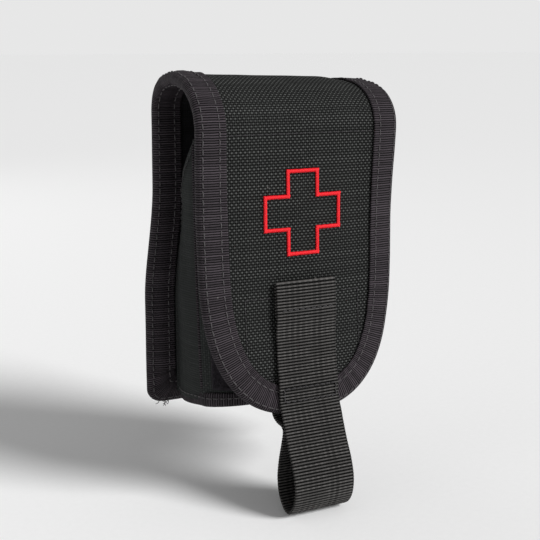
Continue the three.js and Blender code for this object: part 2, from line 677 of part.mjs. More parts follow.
const TIME_STRAP = { low: -38, high: -26 };
const timeStrapPoints = [
  at(-15.5, -22.2), at(-12.5, -22.9), at(-10.6, -25.5), at(-9.9, -31), at(-7, -36.2),
  at(0, -37.4),
  at(7, -36.2), at(9.9, -31), at(10.6, -25.5), at(12.5, -22.9), at(15.5, -22.2),
];
add(
  'tourniquet_time_strap',
  uprightRibbon(timeStrapPoints, 0.9, TIME_STRAP.low, TIME_STRAP.high, 30),
  look('#c9c9c4', 0.8),
);

export default group;
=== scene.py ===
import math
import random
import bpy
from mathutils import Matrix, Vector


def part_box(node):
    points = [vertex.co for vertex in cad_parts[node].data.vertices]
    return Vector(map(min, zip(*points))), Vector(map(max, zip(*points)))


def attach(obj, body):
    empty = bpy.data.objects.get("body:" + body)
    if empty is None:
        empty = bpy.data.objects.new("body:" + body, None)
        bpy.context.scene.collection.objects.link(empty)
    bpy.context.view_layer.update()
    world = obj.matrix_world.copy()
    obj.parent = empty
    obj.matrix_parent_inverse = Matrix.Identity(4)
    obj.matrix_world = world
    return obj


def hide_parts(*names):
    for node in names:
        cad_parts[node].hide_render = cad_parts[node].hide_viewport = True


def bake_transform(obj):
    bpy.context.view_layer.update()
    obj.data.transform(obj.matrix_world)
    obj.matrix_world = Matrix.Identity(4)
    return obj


bl_info = {
    "name": "Tourniquet Pouch",
    "version": (1, 0, 0),
    "blender": (4, 5, 0),
    "location": "3D View > Sidebar > Pouch",
    "description": "Cloth, tape, webbing and fittings of a belt pouch and the tourniquet stowed in it",
    "category": "Add Mesh",
}

import bmesh
import bpy
import numpy as np
from mathutils import Vector, noise

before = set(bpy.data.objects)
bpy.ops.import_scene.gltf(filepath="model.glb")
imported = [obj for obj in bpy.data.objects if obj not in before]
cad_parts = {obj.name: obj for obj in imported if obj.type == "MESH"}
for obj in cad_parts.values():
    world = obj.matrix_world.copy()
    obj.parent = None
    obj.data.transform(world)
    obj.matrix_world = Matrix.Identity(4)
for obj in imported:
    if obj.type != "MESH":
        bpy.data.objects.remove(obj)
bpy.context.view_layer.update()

MM = 0.001


# ---- Sizes that come from the frame ----
def low(node):
    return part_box(node)[0]


def high(node):
    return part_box(node)[1]


BACK_BOTTOM = low("back_binding").z
WIDE_HALF = high("back_binding").x
HALF_WIDTH = high("fold_binding_right").x
CROWN_Z = high("fold_shell").z
FLAP_LOW = low("flap_binding").z
STRAP_HALF = high("pull_strap").x
POCKET_TOP = high("pocket_front").z
POCKET_HALF = high("pocket_front").x
FLOOR_Z = low("pull_loop").z - 1.2 * MM

# ---- The pouch's own dimensions, in metres ----
BACK_TOP = 58 * MM
CROWN_Y = -20 * MM
FOLD_FRONT = (-45.9 * MM, 52 * MM)
FLAP_TIP = (-51.9 * MM, -55 * MM)
FLARE = (30 * MM, -18 * MM)
BACK_CORNER = 5 * MM
SHOULDER = (41.3 * MM, 6.7 * MM)
ROUNDNESS = 2.59
FLAP_BOW = 1.5
POCKET_ROUND = 10.5 * MM

# Layers, as distances outwards from the shell's outer face
SHELL = (-0.8 * MM, 0.0)
CORE = (-2.5 * MM, -1.1 * MM)
LINING = (-3.4 * MM, -2.8 * MM)
LOOP_TAPE = (-7.9 * MM, -6.4 * MM)
HOOK_TAPE = (-5.0 * MM, -3.7 * MM)
POCKET_WALL = (-9.1 * MM, -8.3 * MM)
FABRIC = 0.8 * MM
TAPE = 0.7 * MM
TAPE_WIDTH = 11 * MM
TAPE_GAP = 0.08 * MM
WEBBING = 1.2 * MM

WEBBING_RIB = 1.19 * MM
WARP_COLUMN = 1.17 * MM
BAND_THREADS = (0.9 * MM, 0.6 * MM, 0.2 * MM)
SIDE_CUT = ((-3.5 * MM, 2 * MM), (-26 * MM, POCKET_TOP))
POCKET_REAR = (-4.1 * MM, -55.6 * MM)
POCKET_TOE = (-43 * MM, -49.6 * MM)
CROSS = {"z": 22 * MM, "reach": 15.5 * MM, "arm": 6.15 * MM}
FOOT_POINTS = 260

# Needle pitch and thread radius of the finer seams, and how far up the wall the hem is sewn
HEM_STITCH = (2.6 * MM, 0.2 * MM)
HEM_SHARE = 0.955
CORE_GAP = 0.4 * MM

# Softness of the sheet: slow waves, puckers, creased tape ends, curled rear edges and the slumped crown
WAVE, PUCKER, RUMPLE, EDGE_CURL = 0.45 * MM, 0.18 * MM, 0.5 * MM, 1.6 * MM
CROWN_REACH, SLUMP_REACH = 17 * MM, 24 * MM
SLUMP, SLUMP_LEAN, SLUMP_CORNER = 3.2 * MM, 1.2 * MM, 1.7 * MM


# ---- Curves ----
def smoothstep(x, a, b):
    t = np.clip((x - a) / (b - a), 0, 1)
    return t * t * (3 - 2 * t)


def unit(vectors):
    return vectors / np.maximum(np.linalg.norm(vectors, axis=-1, keepdims=True), 1e-12)


def distance_along(points):
    step = np.linalg.norm(np.diff(points, axis=0), axis=1)
    return np.concatenate([[0], np.cumsum(step)])


def bezier(points, steps):
    """Points along a Bezier curve of any degree."""
    t = np.linspace(0, 1, steps)[:, None]
    layer = [np.asarray(p, float)[None, :] for p in points]
    while len(layer) > 1:
        layer = [a * (1 - t) + b * t for a, b in zip(layer, layer[1:])]
    return layer[0]


def arc(centre, radius, start, end, steps):
    turn = np.radians(np.linspace(start, end, steps))
    return np.stack([centre[0] + radius * np.cos(turn), centre[1] + radius * np.sin(turn)], 1)


class Path:
    """A plane curve through close points, read by distance along it."""

    def __init__(self, *parts):
        points = np.concatenate([np.asarray(p, float) for p in parts])
        step = np.linalg.norm(np.diff(points, axis=0), axis=1)
        keep = np.concatenate([[True], step > 1e-7])
        self.points = points[keep]
        self.s = distance_along(self.points)
        self.length = self.s[-1]
        self.tangents = unit(np.gradient(self.points, self.s, axis=0))

    def at(self, s):
        s = np.asarray(s, float)
        place = [np.interp(s, self.s, self.points[:, k]) for k in (0, 1)]
        turn = [np.interp(s, self.s, self.tangents[:, k]) for k in (0, 1)]
        return np.stack(place, -1), np.stack(turn, -1)


def spline(points, steps=24):
    """A smooth curve through a few points, as a Catmull-Rom chain."""
    p = np.asarray(points, float)
    p = np.concatenate([[2 * p[0] - p[1]], p, [2 * p[-1] - p[-2]]])
    parts = []
    for a, b, c, d in zip(p, p[1:], p[2:], p[3:]):
        reach = np.linalg.norm(c - b) / 3
        out = (c - a) / max(np.linalg.norm(c - a), 1e-9) * reach
        back = (d - b) / max(np.linalg.norm(d - b), 1e-9) * reach
        parts.append(bezier([b, b + out, c - back, c], steps))
    return Path(*parts)


def make_profile():
    """The outer face of the one sheet that makes back panel, fold and flap, as (y, z)."""
    crown = (CROWN_Y, CROWN_Z)
    rear = bezier([(0, BACK_TOP), (0, 67.5 * MM), (-8 * MM, CROWN_Z), crown], 90)
    front = bezier([crown, (-33 * MM, CROWN_Z), (FOLD_FRONT[0], 65.5 * MM), FOLD_FRONT], 90)
    face = bezier([FOLD_FRONT, (FOLD_FRONT[0], -2 * MM), FLAP_TIP], 200)
    beyond = [(FLAP_TIP[0] - 0.45 * MM, FLAP_TIP[1] - 4 * MM)]
    back = np.linspace((0, BACK_BOTTOM), (0, BACK_TOP), 120)
    return Path(back, rear, front, face, beyond)


PROFILE = make_profile()
CROWN_S = float(np.interp(-CROWN_Y, -PROFILE.points[:, 0], PROFILE.s))
FRONT_S = PROFILE.s[PROFILE.s > CROWN_S]
FRONT_Z = PROFILE.at(FRONT_S)[0][:, 1]


def along_at(height):
    """Distance along the profile at which its front face reaches a height."""
    return np.interp(-np.asarray(height, float), -FRONT_Z, FRONT_S)


def face_y(height):
    return PROFILE.at(along_at(height))[0][..., 0]


def ripple(x, s, scale, seed=0.0):
    """Smooth noise from -1 to 1 over the sheet."""
    flat = [noise.noise((a * scale, b * scale, seed)) for a, b in zip(np.ravel(x), np.ravel(s))]
    return np.reshape(flat, np.shape(x))


def place(x, s, out):
    """Points of the bound sheet: x across, s along the profile, out from the shell's outer face."""
    x, s, out = np.broadcast_arrays(*[np.asarray(v, float) for v in (x, s, out)])
    point, turn = PROFILE.at(s)
    wave = WAVE * ripple(x, s, 26) + PUCKER * ripple(x, s, 75, 3.0)
    crown = np.exp(-(((s - CROWN_S) / CROWN_REACH) ** 2))
    edge = smoothstep(np.abs(x), HALF_WIDTH - TAPE_WIDTH - 3 * MM, HALF_WIDTH - TAPE_WIDTH + 1 * MM)
    rumple = crown * edge * RUMPLE * (0.2 + ripple(x, s, 210, 8.0))
    level = out + wave + rumple
    y = point[..., 0] + turn[..., 1] * level
    z = point[..., 1] - turn[..., 0] * level
    slump = np.exp(-(((s - CROWN_S) / SLUMP_REACH) ** 2))
    z = z - slump * (SLUMP + SLUMP_LEAN * x / HALF_WIDTH + SLUMP_CORNER * smoothstep(x, 20 * MM, 34 * MM))
    front = s > CROWN_S
    bow = FLAP_BOW * x * x * (1 - smoothstep(z, 15 * MM, 60 * MM))
    curl = EDGE_CURL * smoothstep(np.abs(x), 36 * MM, 46 * MM) ** 2 * (1 - smoothstep(z, 30 * MM, 62 * MM))
    return np.stack([x, y + np.where(front, bow, curl), z], -1)


# ---- Mesh making ----
def new_object(name, mesh, material, body=None, smooth=True):
    mesh.validate(verbose=False)
    mesh.update()
    if smooth:
        mesh.polygons.foreach_set("use_smooth", [True] * len(mesh.polygons))
    obj = bpy.data.objects.new(name, mesh)
    bpy.context.scene.collection.objects.link(obj)
    mesh.materials.append(material)
    if body:
        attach(obj, body)
    return obj


def loft_data(rings, uv):
    """Vertices, faces and face-corner UVs of a closed, capped skin over rings (rows, columns, 3)."""
    rows, cols = rings.shape[:2]
    i, j = np.meshgrid(np.arange(rows - 1), np.arange(cols), indexing="ij")
    k = (j + 1) % cols
    faces = np.stack([i * cols + j, i * cols + k, (i + 1) * cols + k, (i + 1) * cols + j], -1)
    faces = faces.reshape(-1, 4).tolist()
    corners = np.stack([uv[i, j], uv[i, j + 1], uv[i + 1, j + 1], uv[i + 1, j]], 2).reshape(-1, 2)
    faces += [list(range(cols))[::-1], [(rows - 1) * cols + n for n in range(cols)]]
    corners = np.concatenate([corners, uv[0, :cols][::-1], uv[rows - 1, :cols]])
    return rings.reshape(-1, 3), faces, corners


def two_faced(outer, inner, across, along):
    """A closed skin over two grids of points that share one flat pattern."""
    flat = np.stack(np.broadcast_arrays(across, along), -1)
    uv = np.concatenate([flat, flat[:, ::-1], flat[:, :1]], 1)
    return loft_data(np.concatenate([outer, inner[:, ::-1]], 1), uv)


def join_lofts(name, lofts):
    """One mesh from several (vertices, faces, UVs)."""
    verts, faces, corners, base = [], [], [], 0
    for v, f, c in lofts:
        verts.append(v)
        faces += [[n + base for n in face] for face in f]
        corners.append(c)
        base += len(v)
    mesh = bpy.data.meshes.new(name)
    mesh.from_pydata(np.concatenate(verts).tolist(), [], faces)
    layer = mesh.uv_layers.new(name="UVMap")
    layer.data.foreach_set("uv", np.concatenate(corners).astype(np.float32).ravel())
    return mesh


def outward(mesh):
    """Turns every face of closed bodies outwards."""
    work = bmesh.new()
    work.from_mesh(mesh)
    bmesh.ops.recalc_face_normals(work, faces=work.faces)
    work.to_mesh(mesh)
    work.free()
    return mesh


def skin(name, lofts, look, body=None, slot=None, *nodes):
    """One object from closed lofts, in a named material, in place of the CAD nodes that are given."""
    piece = new_object(name, outward(join_lofts(name, lofts)), material(look), body)
    if nodes:
        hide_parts(*nodes)
    return piece


def sheet_loft(x_of, s_values, layer, columns=40, swell=0.0):
    """A layer of the bound sheet between two offsets, as wide as x_of(s) at each distance s."""
    low_out, high_out = layer
    t = np.linspace(-1, 1, columns)
    half = np.array([max(x_of(s), 0.4 * MM) for s in s_values])
    x = half[:, None] * t
    s = np.repeat(np.asarray(s_values)[:, None], columns, 1)
    puff = swell * (1 - t**4)
    return two_faced(place(x, s, high_out + puff), place(x, s, low_out + puff), x, s)


def ribbon_loft(path, half, thickness, rows, columns=16, settle=None, ridge=None):
    """Flat webbing whose length follows a (y, z) path, with round selvedges. Ridge lifts its faces."""
    s = np.linspace(0, path.length, rows)
    point, turn = path.at(s)
    t = np.linspace(-1, 1, columns)
    x = half * np.sin(t * math.pi / 2)
    rim = np.sqrt(np.clip(1 - np.abs(t) ** 7, 0, 1))
    level = np.tile(thickness / 2 * rim, (rows, 1))
    rise = 0 if ridge is None else ridge(x[None, :], s[:, None]) * rim
    xs = np.tile(x, (rows, 1))
    sides = []
    for side in (1, -1):
        out = side * (level + rise)
        y = point[:, :1] + turn[:, 1:] * out
        z = point[:, 1:] - turn[:, :1] * out
        if settle:
            y = y + settle(xs, z)
        sides.append(np.stack([xs, y, z], -1))
    return two_faced(*sides, x[None, :], s[:, None])


def tube_loft(points, radius, sides=8, taper=True, squash=1.0):
    """A round cord through close points, with closed ends."""
    p = np.asarray(points, float)
    tangent = unit(np.gradient(p, axis=0))
    side = unit(np.cross(tangent, (0.0, -1.0, 0.05)))
    up = np.cross(side, tangent)
    size = np.full(len(p), radius)
    if taper:
        size[0] = size[-1] = radius * 0.45
    turn = np.linspace(0, 2 * math.pi, sides, endpoint=False)
    ring = np.cos(turn)[None, :, None] * side[:, None] + squash * np.sin(turn)[None, :, None] * up[:, None]
    rings = p[:, None] + size[:, None, None] * ring
    length = distance_along(p)
    around = np.linspace(0, 2 * math.pi * radius, sides + 1)
    uv = np.stack(np.broadcast_arrays(around[None, :], length[:, None]), -1)
    return loft_data(rings, uv)


def stitch_row(points, normals, pitch=3.0 * MM, radius=0.26 * MM, share=0.8, seed=1, sink=0.1 * MM):
    """Lockstitches along a line on a surface: short threads that dip into the cloth at each hole."""
    chance = random.Random(seed)
    p = np.asarray(points, float)
    n = np.asarray(normals, float)
    s = distance_along(p)
    lofts = []
    count = max(int(s[-1] / pitch), 1)
    pitch = s[-1] / count
    for k in range(count):
        middle = (k + 0.5) * pitch
        reach = pitch * share / 2 * chance.uniform(0.92, 1.05)
        t = np.linspace(-1, 1, 7)
        at = middle + t * reach
        line = np.stack([np.interp(at, s, p[:, c]) for c in range(3)], -1)
        lift = np.stack([np.interp(at, s, n[:, c]) for c in range(3)], -1)
        rise = (radius + sink) * np.sqrt(np.clip(1 - t**2, 0, 1)) - sink
        lean = unit(np.cross(np.gradient(line, axis=0), lift))
        tilt = chance.uniform(-0.12, 0.12) * MM * t
        lofts.append(tube_loft(line + lift * rise[:, None] + lean * tilt[:, None], radius, 6))
    return lofts


def sheet_line(x, s, out):
    """Points and outward normals of a line drawn on the bound sheet."""
    inner, outer = place(x, s, out), place(x, s, np.asarray(out) + 0.5 * MM)
    return inner, unit(outer - inner)


# ---- Node helpers ----
class Nodes:
    """Adds nodes to one tree and wires them, so that a formula reads like one."""

    def __init__(self, tree):
        self.tree = tree

    def node(self, kind, **values):
        made = self.tree.nodes.new(kind)
        for key, value in values.items():
            setattr(made, key, value)
        return made

    def feed(self, socket, value):
        if isinstance(value, bpy.types.NodeSocket):
            self.tree.links.new(value, socket)
        else:
            socket.default_value = value

    def math(self, operation, *inputs, clamp=False):
        made = self.node("ShaderNodeMath", operation=operation, use_clamp=clamp)
        for socket, value in zip(made.inputs, inputs):
            self.feed(socket, value)
        return made.outputs[0]

    def mix(self, factor, a, b):
        made = self.node("ShaderNodeMix", data_type="RGBA")
        self.feed(made.inputs["Factor"], factor)
        self.feed(made.inputs[6], a)
        self.feed(made.inputs[7], b)
        return made.outputs[2]

    def noise(self, vector, scale, detail=2.0, roughness=0.5):
        made = self.node("ShaderNodeTexNoise")
        self.feed(made.inputs["Vector"], vector)
        made.inputs["Scale"].default_value = scale
        made.inputs["Detail"].default_value = detail
        made.inputs["Roughness"].default_value = roughness
        return made.outputs[0]

    def ramp(self, value, start, end):
        made = self.node("ShaderNodeMapRange")
        self.feed(made.inputs["Value"], value)
        made.inputs["From Min"].default_value = start
        made.inputs["From Max"].default_value = end
        return made.outputs[0]


def new_group(name, inputs, outputs):
    tree = bpy.data.node_groups.new(name, "ShaderNodeTree")
    for label, kind, default in inputs:
        socket = tree.interface.new_socket(name=label, in_out="INPUT", socket_type=kind)
        if default is not None:
            socket.default_value = default
    for label, kind in outputs:
        tree.interface.new_socket(name=label, in_out="OUTPUT", socket_type=kind)
    n = Nodes(tree)
    return tree, n, n.node("NodeGroupInput").outputs, n.node("NodeGroupOutput").inputs


def weave_group():
    """Over-and-under threads: the height of the cloth and each thread's own tone."""
    tree, n, given, out = new_group(
        "Woven Threads",
        [
            ("Vector", "NodeSocketVector", None),
            ("Warp Spacing", "NodeSocketFloat", 0.0008),
            ("Weft Spacing", "NodeSocketFloat", 0.001),
            ("Basket", "NodeSocketFloat", 1.0),
            ("Stagger", "NodeSocketFloat", 1.0),
            ("Weft Level", "NodeSocketFloat", 0.45),
            ("Warp Level", "NodeSocketFloat", 0.6),
            ("Wander", "NodeSocketFloat", 0.15),
        ],
        [("Height", "NodeSocketFloat"), ("Thread Tone", "NodeSocketFloat")],
    )
    split = n.node("ShaderNodeSeparateXYZ")
    n.feed(split.inputs[0], given["Vector"])
    wander = n.math("SUBTRACT", n.noise(given["Vector"], 260.0), 0.5)
    wander = n.math("MULTIPLY", wander, given["Wander"])
    u = n.math("ADD", n.math("DIVIDE", split.outputs[0], given["Warp Spacing"]), wander)
    v = n.math("ADD", n.math("DIVIDE", split.outputs[1], given["Weft Spacing"]), wander)

    def round_thread(t):
        off = n.math("SUBTRACT", n.math("MULTIPLY", n.math("FRACT", t), 2.0), 1.0)
        return n.math("SUBTRACT", 1.0, n.math("MULTIPLY", off, off))

    def bulge(t):
        part = n.math("FRACT", n.math("DIVIDE", t, given["Basket"]))
        return n.math("SINE", n.math("MULTIPLY", part, math.pi))

    def square(t):
        return n.math("FLOOR", n.math("DIVIDE", t, given["Basket"]))

    rows = n.math("MULTIPLY", square(v), given["Stagger"])
    over = n.math("MODULO", n.math("ABSOLUTE", n.math("ADD", square(u), rows)), 2.0)
    under = n.math("SUBTRACT", 1.0, over)
    room = n.math("SUBTRACT", 1.0, given["Weft Level"])
    rise = n.math("MULTIPLY", n.math("MULTIPLY", over, bulge(u)), room)
    weft = n.math("MULTIPLY", round_thread(v), n.math("ADD", rise, given["Weft Level"]))
    warp = n.math("MULTIPLY", n.math("MULTIPLY", round_thread(u), under), given["Warp Level"])
    height = n.math("MAXIMUM", weft, warp)
    n.feed(out["Height"], height)
    cell = n.node("ShaderNodeCombineXYZ")
    n.feed(cell.inputs[0], n.math("MULTIPLY", n.math("FLOOR", u), under))
    n.feed(cell.inputs[1], n.math("MULTIPLY", n.math("FLOOR", v), over))
    tone = n.node("ShaderNodeTexWhiteNoise", noise_dimensions="3D")
    n.feed(tone.inputs["Vector"], cell.outputs[0])
    n.feed(out["Thread Tone"], tone.outputs["Value"])
    return tree


def rib_group():
    """Cross ribs of a tape, with fine lengthwise warp threads between them."""
    tree, n, given, out = new_group(
        "Tape Ribs",
        [
            ("Vector", "NodeSocketVector", None),
            ("Rib Spacing", "NodeSocketFloat", 0.0009),
            ("Warp Spacing", "NodeSocketFloat", 0.0005),
        ],
        [("Height", "NodeSocketFloat"), ("Rib Tone", "NodeSocketFloat")],
    )
    split = n.node("ShaderNodeSeparateXYZ")
    n.feed(split.inputs[0], given["Vector"])
    wander = n.math("MULTIPLY", n.math("SUBTRACT", n.noise(given["Vector"], 320.0), 0.5), 0.35)
    v = n.math("ADD", n.math("DIVIDE", split.outputs[1], given["Rib Spacing"]), wander)
    u = n.math("DIVIDE", split.outputs[0], given["Warp Spacing"])
    off = n.math("SUBTRACT", n.math("MULTIPLY", n.math("FRACT", v), 2.0), 1.0)
    rib = n.math("SUBTRACT", 1.0, n.math("MULTIPLY", off, off))
    thread = n.math("ADD", n.math("MULTIPLY", n.math("SINE", n.math("MULTIPLY", u, 2 * math.pi)), 0.14), 0.86)
    n.feed(out["Height"], n.math("MULTIPLY", rib, thread))
    tone = n.node("ShaderNodeTexWhiteNoise", noise_dimensions="1D")
    n.feed(tone.inputs["W"], n.math("FLOOR", v))
    n.feed(out["Rib Tone"], tone.outputs["Value"])
    return tree


def handling_group():
    """Lint specks, rubbed patches and slow unevenness of dyed cloth."""
    tree, n, given, out = new_group(
        "Handling Marks",
        [
            ("Vector", "NodeSocketVector", None),
            ("Lint", "NodeSocketFloat", 0.5),
            ("Rub", "NodeSocketFloat", 0.5),
        ],
        [("Lint Mask", "NodeSocketFloat"), ("Rub Mask", "NodeSocketFloat")],
    )
    speck = n.node("ShaderNodeTexVoronoi", feature="F1")
    n.feed(speck.inputs["Vector"], given["Vector"])
    speck.inputs["Scale"].default_value = 210.0
    near = n.ramp(speck.outputs["Distance"], 0.10, 0.03)
    rare = n.ramp(n.noise(given["Vector"], 90.0), 0.62, 0.7)
    n.feed(out["Lint Mask"], n.math("MULTIPLY", n.math("MULTIPLY", near, rare), given["Lint"], clamp=True))
    cloud = n.ramp(n.noise(given["Vector"], 38.0, 5.0, 0.6), 0.42, 0.72)
    n.feed(out["Rub Mask"], n.math("MULTIPLY", cloud, given["Rub"], clamp=True))
    return tree


GROUPS = {}


def group_node(n, name, **values):
    made = n.node("ShaderNodeGroup")
    made.node_tree = GROUPS[name]
    for key, value in values.items():
        n.feed(made.inputs[key.replace("_", " ").title()], value)
    return made.outputs


def start_material(name, roughness, sheen=0.0, specular=0.4):
    material = bpy.data.materials.new(name)
    material.use_nodes = True
    n = Nodes(material.node_tree)
    shader = material.node_tree.nodes["Principled BSDF"]
    shader.inputs["Roughness"].default_value = roughness
    shader.inputs["Specular IOR Level"].default_value = specular
    shader.inputs["Sheen Weight"].default_value = sheen
    shader.inputs["Sheen Roughness"].default_value = 0.45
    return material, n, shader


def bump(n, shader, height, depth, strength=1.0):
    made = n.node("ShaderNodeBump")
    made.inputs["Strength"].default_value = strength
    made.inputs["Distance"].default_value = depth
    n.feed(made.inputs["Height"], height)
    n.feed(shader.inputs["Normal"], made.outputs[0])


def dyed(colour, share):
    return tuple(min(c * share, 1.0) for c in colour) + (1.0,)


def woven_material(
    name, colour, warp, weft, depth, basket=1.0, wander=0.15, rough=0.75, lint=0.5,
    hole_shade=0.01, lit=(0.36, 0.74), highlight_shares=(1.2, 6.4), **threads
):
    """Cloth or webbing: painted shade in the holes and painted highlights on the thread crowns, keyed to the
    weave's height and each thread's tone, then rubbed places and lint.
    """
    material, n, shader = start_material(name, rough, 0.0, 0.1)
    uv = n.node("ShaderNodeUVMap", uv_map="UVMap").outputs[0]
    threads = group_node(
        n, "weave", vector=uv, warp_spacing=warp, weft_spacing=weft, basket=basket, wander=wander, **threads
    )
    marks = group_node(n, "handling", vector=uv, lint=lint, rub=0.55)
    # Painted light: the weave's height picks between the shaded hole colour and the highlighted thread-crown
    # colour.
    lit = n.ramp(threads["Height"], *lit)
    highlight_colour = n.mix(n.math("MULTIPLY", threads["Thread Tone"], 0.5), *[dyed(colour, share) for share in highlight_shares])
    base = n.mix(lit, dyed(colour, hole_shade), highlight_colour)
    gloss = n.math("MULTIPLY", threads["Thread Tone"], 0.45)
    base = n.mix(n.math("MULTIPLY", marks["Rub Mask"], 0.14), base, dyed(colour, 1.8))
    base = n.mix(marks["Lint Mask"], base, (0.2, 0.19, 0.18, 1))
    n.feed(shader.inputs["Base Color"], base)
    n.feed(shader.inputs["Roughness"], n.math("ADD", n.math("MULTIPLY", gloss, -0.3), rough))
    bump(n, shader, threads["Height"], depth)
    return material


def ribbed_material(name, colour, rib, depth, warp=0.45 * MM, rough=0.62, lint=0.5):
    material, n, shader = start_material(name, rough, 0.0, 0.12)
    uv = n.node("ShaderNodeUVMap", uv_map="UVMap").outputs[0]
    ribs = group_node(n, "ribs", vector=uv, rib_spacing=rib, warp_spacing=warp)
    marks = group_node(n, "handling", vector=uv, lint=lint, rub=0.6)
    # Painted light: the rib height picks between shaded valleys and highlighted rib crowns, whose brightness
    # varies with each rib's tone.
    lit = n.ramp(ribs["Height"], 0.45, 0.72)
    highlight_colour = n.mix(ribs["Rib Tone"], dyed(colour, 2.5), dyed(colour, 4.6))
    base = n.mix(lit, dyed(colour, 0.03), highlight_colour)
    base = n.mix(n.math("MULTIPLY", marks["Rub Mask"], 0.18), base, dyed(colour, 1.9))
    base = n.mix(marks["Lint Mask"], base, (0.2, 0.19, 0.18, 1))
    n.feed(shader.inputs["Base Color"], base)
    bump(n, shader, ribs["Height"], depth)
    return material


def thread_material(name, colour, rough=0.5, twist=0.35 * MM, sheen=0.1):
    """Twisted sewing thread: slanting plies along the thread's own UV, with painted shade between the plies.
    """
    material, n, shader = start_material(name, rough, sheen, 0.4)
    uv = n.node("ShaderNodeUVMap", uv_map="UVMap").outputs[0]
    split = n.node("ShaderNodeSeparateXYZ")
    n.feed(split.inputs[0], uv)
    turns = [n.math("DIVIDE", split.outputs[k], twist) for k in (0, 1)]
    slant = n.math("ADD", *turns)
    ply = n.math("ABSOLUTE", n.math("SINE", n.math("MULTIPLY", slant, math.pi)))
    tone = n.noise(uv, 500.0)
    # Painted shade in the grooves between the plies and lighter ply crests, keyed to the ply height that also
    # drives the bump.
    base = n.mix(n.math("POWER", ply, 0.6), dyed(colour, 0.45), dyed(colour, 1.05))
    base = n.mix(n.math("MULTIPLY", tone, 0.4), base, dyed(colour, 1.35))
    n.feed(shader.inputs["Base Color"], base)
    bump(n, shader, ply, 0.08 * MM)
    return material


def pile_material(name, colour):
    """Fastener tape and foam: fine clumps on object coordinates."""
    material, n, shader = start_material(name, 0.95, 0.04, 0.1)
    place_node = n.node("ShaderNodeTexCoord").outputs["Object"]
    clump = n.noise(place_node, 900.0, 4.0, 0.7)
    fine = n.noise(place_node, 3200.0, 2.0, 0.6)
    height = n.math("ADD", clump, n.math("MULTIPLY", fine, 0.5))
    # Painted shade: the low places of the pile are darker and the clump tops lighter, from the same height as
    # the bump.
    base = n.mix(n.ramp(height, 0.5, 1.0), dyed(colour, 0.3), dyed(colour, 1.5))
    n.feed(shader.inputs["Base Color"], base)
    bump(n, shader, height, 0.35 * MM)
    return material


def moulded_material(name, colour, rough=0.42):
    """Glass-filled nylon: spark-eroded grain, scuffs and faint flow marks."""
    material, n, shader = start_material(name, rough, 0.0, 0.5)
    place_node = n.node("ShaderNodeTexCoord").outputs["Object"]
    grain = n.noise(place_node, 2600.0, 3.0, 0.6)
    flow = n.noise(place_node, 60.0, 3.0, 0.55)
    marks = group_node(n, "handling", vector=place_node, lint=0.4, rub=0.8)
    base = n.mix(flow, dyed(colour, 0.75), dyed(colour, 1.3))
    base = n.mix(n.math("MULTIPLY", marks["Rub Mask"], 0.5), base, dyed(colour, 2.2))
    n.feed(shader.inputs["Base Color"], base)
    n.feed(shader.inputs["Roughness"], n.math("ADD", n.math("MULTIPLY", grain, 0.25), rough - 0.1))
    bump(n, shader, grain, 0.03 * MM)
    return material


MATERIALS = {}


def material(name):
    return MATERIALS[name]


# ---- What a user may change ----
def colour_prop(name, description, value):
    return bpy.props.FloatVectorProperty(
        name=name, description=description, default=value, subtype="COLOR", min=0.0, max=1.0
    )


def length_prop(name, description, value, top):
    return bpy.props.FloatProperty(
        name=name, description=description, default=value, min=0.0, max=top, unit="LENGTH", precision=5
    )


class PouchColours(bpy.types.PropertyGroup):
    ballistic: colour_prop("Ballistic nylon", "Dye of the flap and back cloth", (0.0141, 0.0147, 0.0141))
    pack: colour_prop("Pack cloth", "Dye of the pocket cloth", (0.0150, 0.0165, 0.0160))
    tape: colour_prop("Binding tape", "Dye of the edge tape", (0.0145, 0.0120, 0.0139))
    webbing: colour_prop("Webbing", "Dye of the pull strap", (0.0200, 0.0192, 0.0185))
    lining: colour_prop("Lining", "Dye of the coated lining", (0.0120, 0.0120, 0.0130))
    cross: colour_prop("Cross thread", "Embroidery thread of the cross", (0.88, 0.006, 0.016))
    band: colour_prop("Tourniquet band", "Dye of the tourniquet's band", (0.0120, 0.0125, 0.0135))
    tip: colour_prop("Band tip", "Dye of the band's free end", (0.42, 0.012, 0.016))
    moulding: colour_prop("Mouldings", "Colour of the rod, clip, plate and buckle", (0.0100, 0.0105, 0.0110))


class PouchSizes(bpy.types.PropertyGroup):
    stitch_pitch: length_prop("Stitch length", "Distance between needle holes", 3.0 * MM, 0.01)
    thread_radius: length_prop("Thread radius", "Half the sewing thread's thickness", 0.24 * MM, 0.001)
    tape_puff: length_prop("Tape swell", "Swell of binding tape between its stitch rows", 0.16 * MM, 0.002)
    rib_height: length_prop("Webbing rib", "Height of the pull strap's ribs", 0.2 * MM, 0.001)
    pocket_swell: length_prop("Pocket swell", "How far the pocket cloth swells and wrinkles", 0.9 * MM, 0.005)
    lens: bpy.props.FloatProperty(
        name="Lens", description="Focal length of the camera", default=71.5, min=20, max=200, unit="CAMERA"
    )
    key_light: bpy.props.FloatProperty(
        name="Key light", description="Strength of the soft main light", default=3.6, min=0.0, max=50.0
    )
    fill_power: bpy.props.FloatProperty(
        name="Fill light", description="Power of each side softbox",
        default=0.8, min=0.0, max=500.0, unit="POWER",
    )


def sizes():
    return bpy.context.scene.pouch_sizes


def colours():
    return bpy.context.scene.pouch_colours


class PouchOperator:
    bl_options = {"REGISTER", "UNDO"}


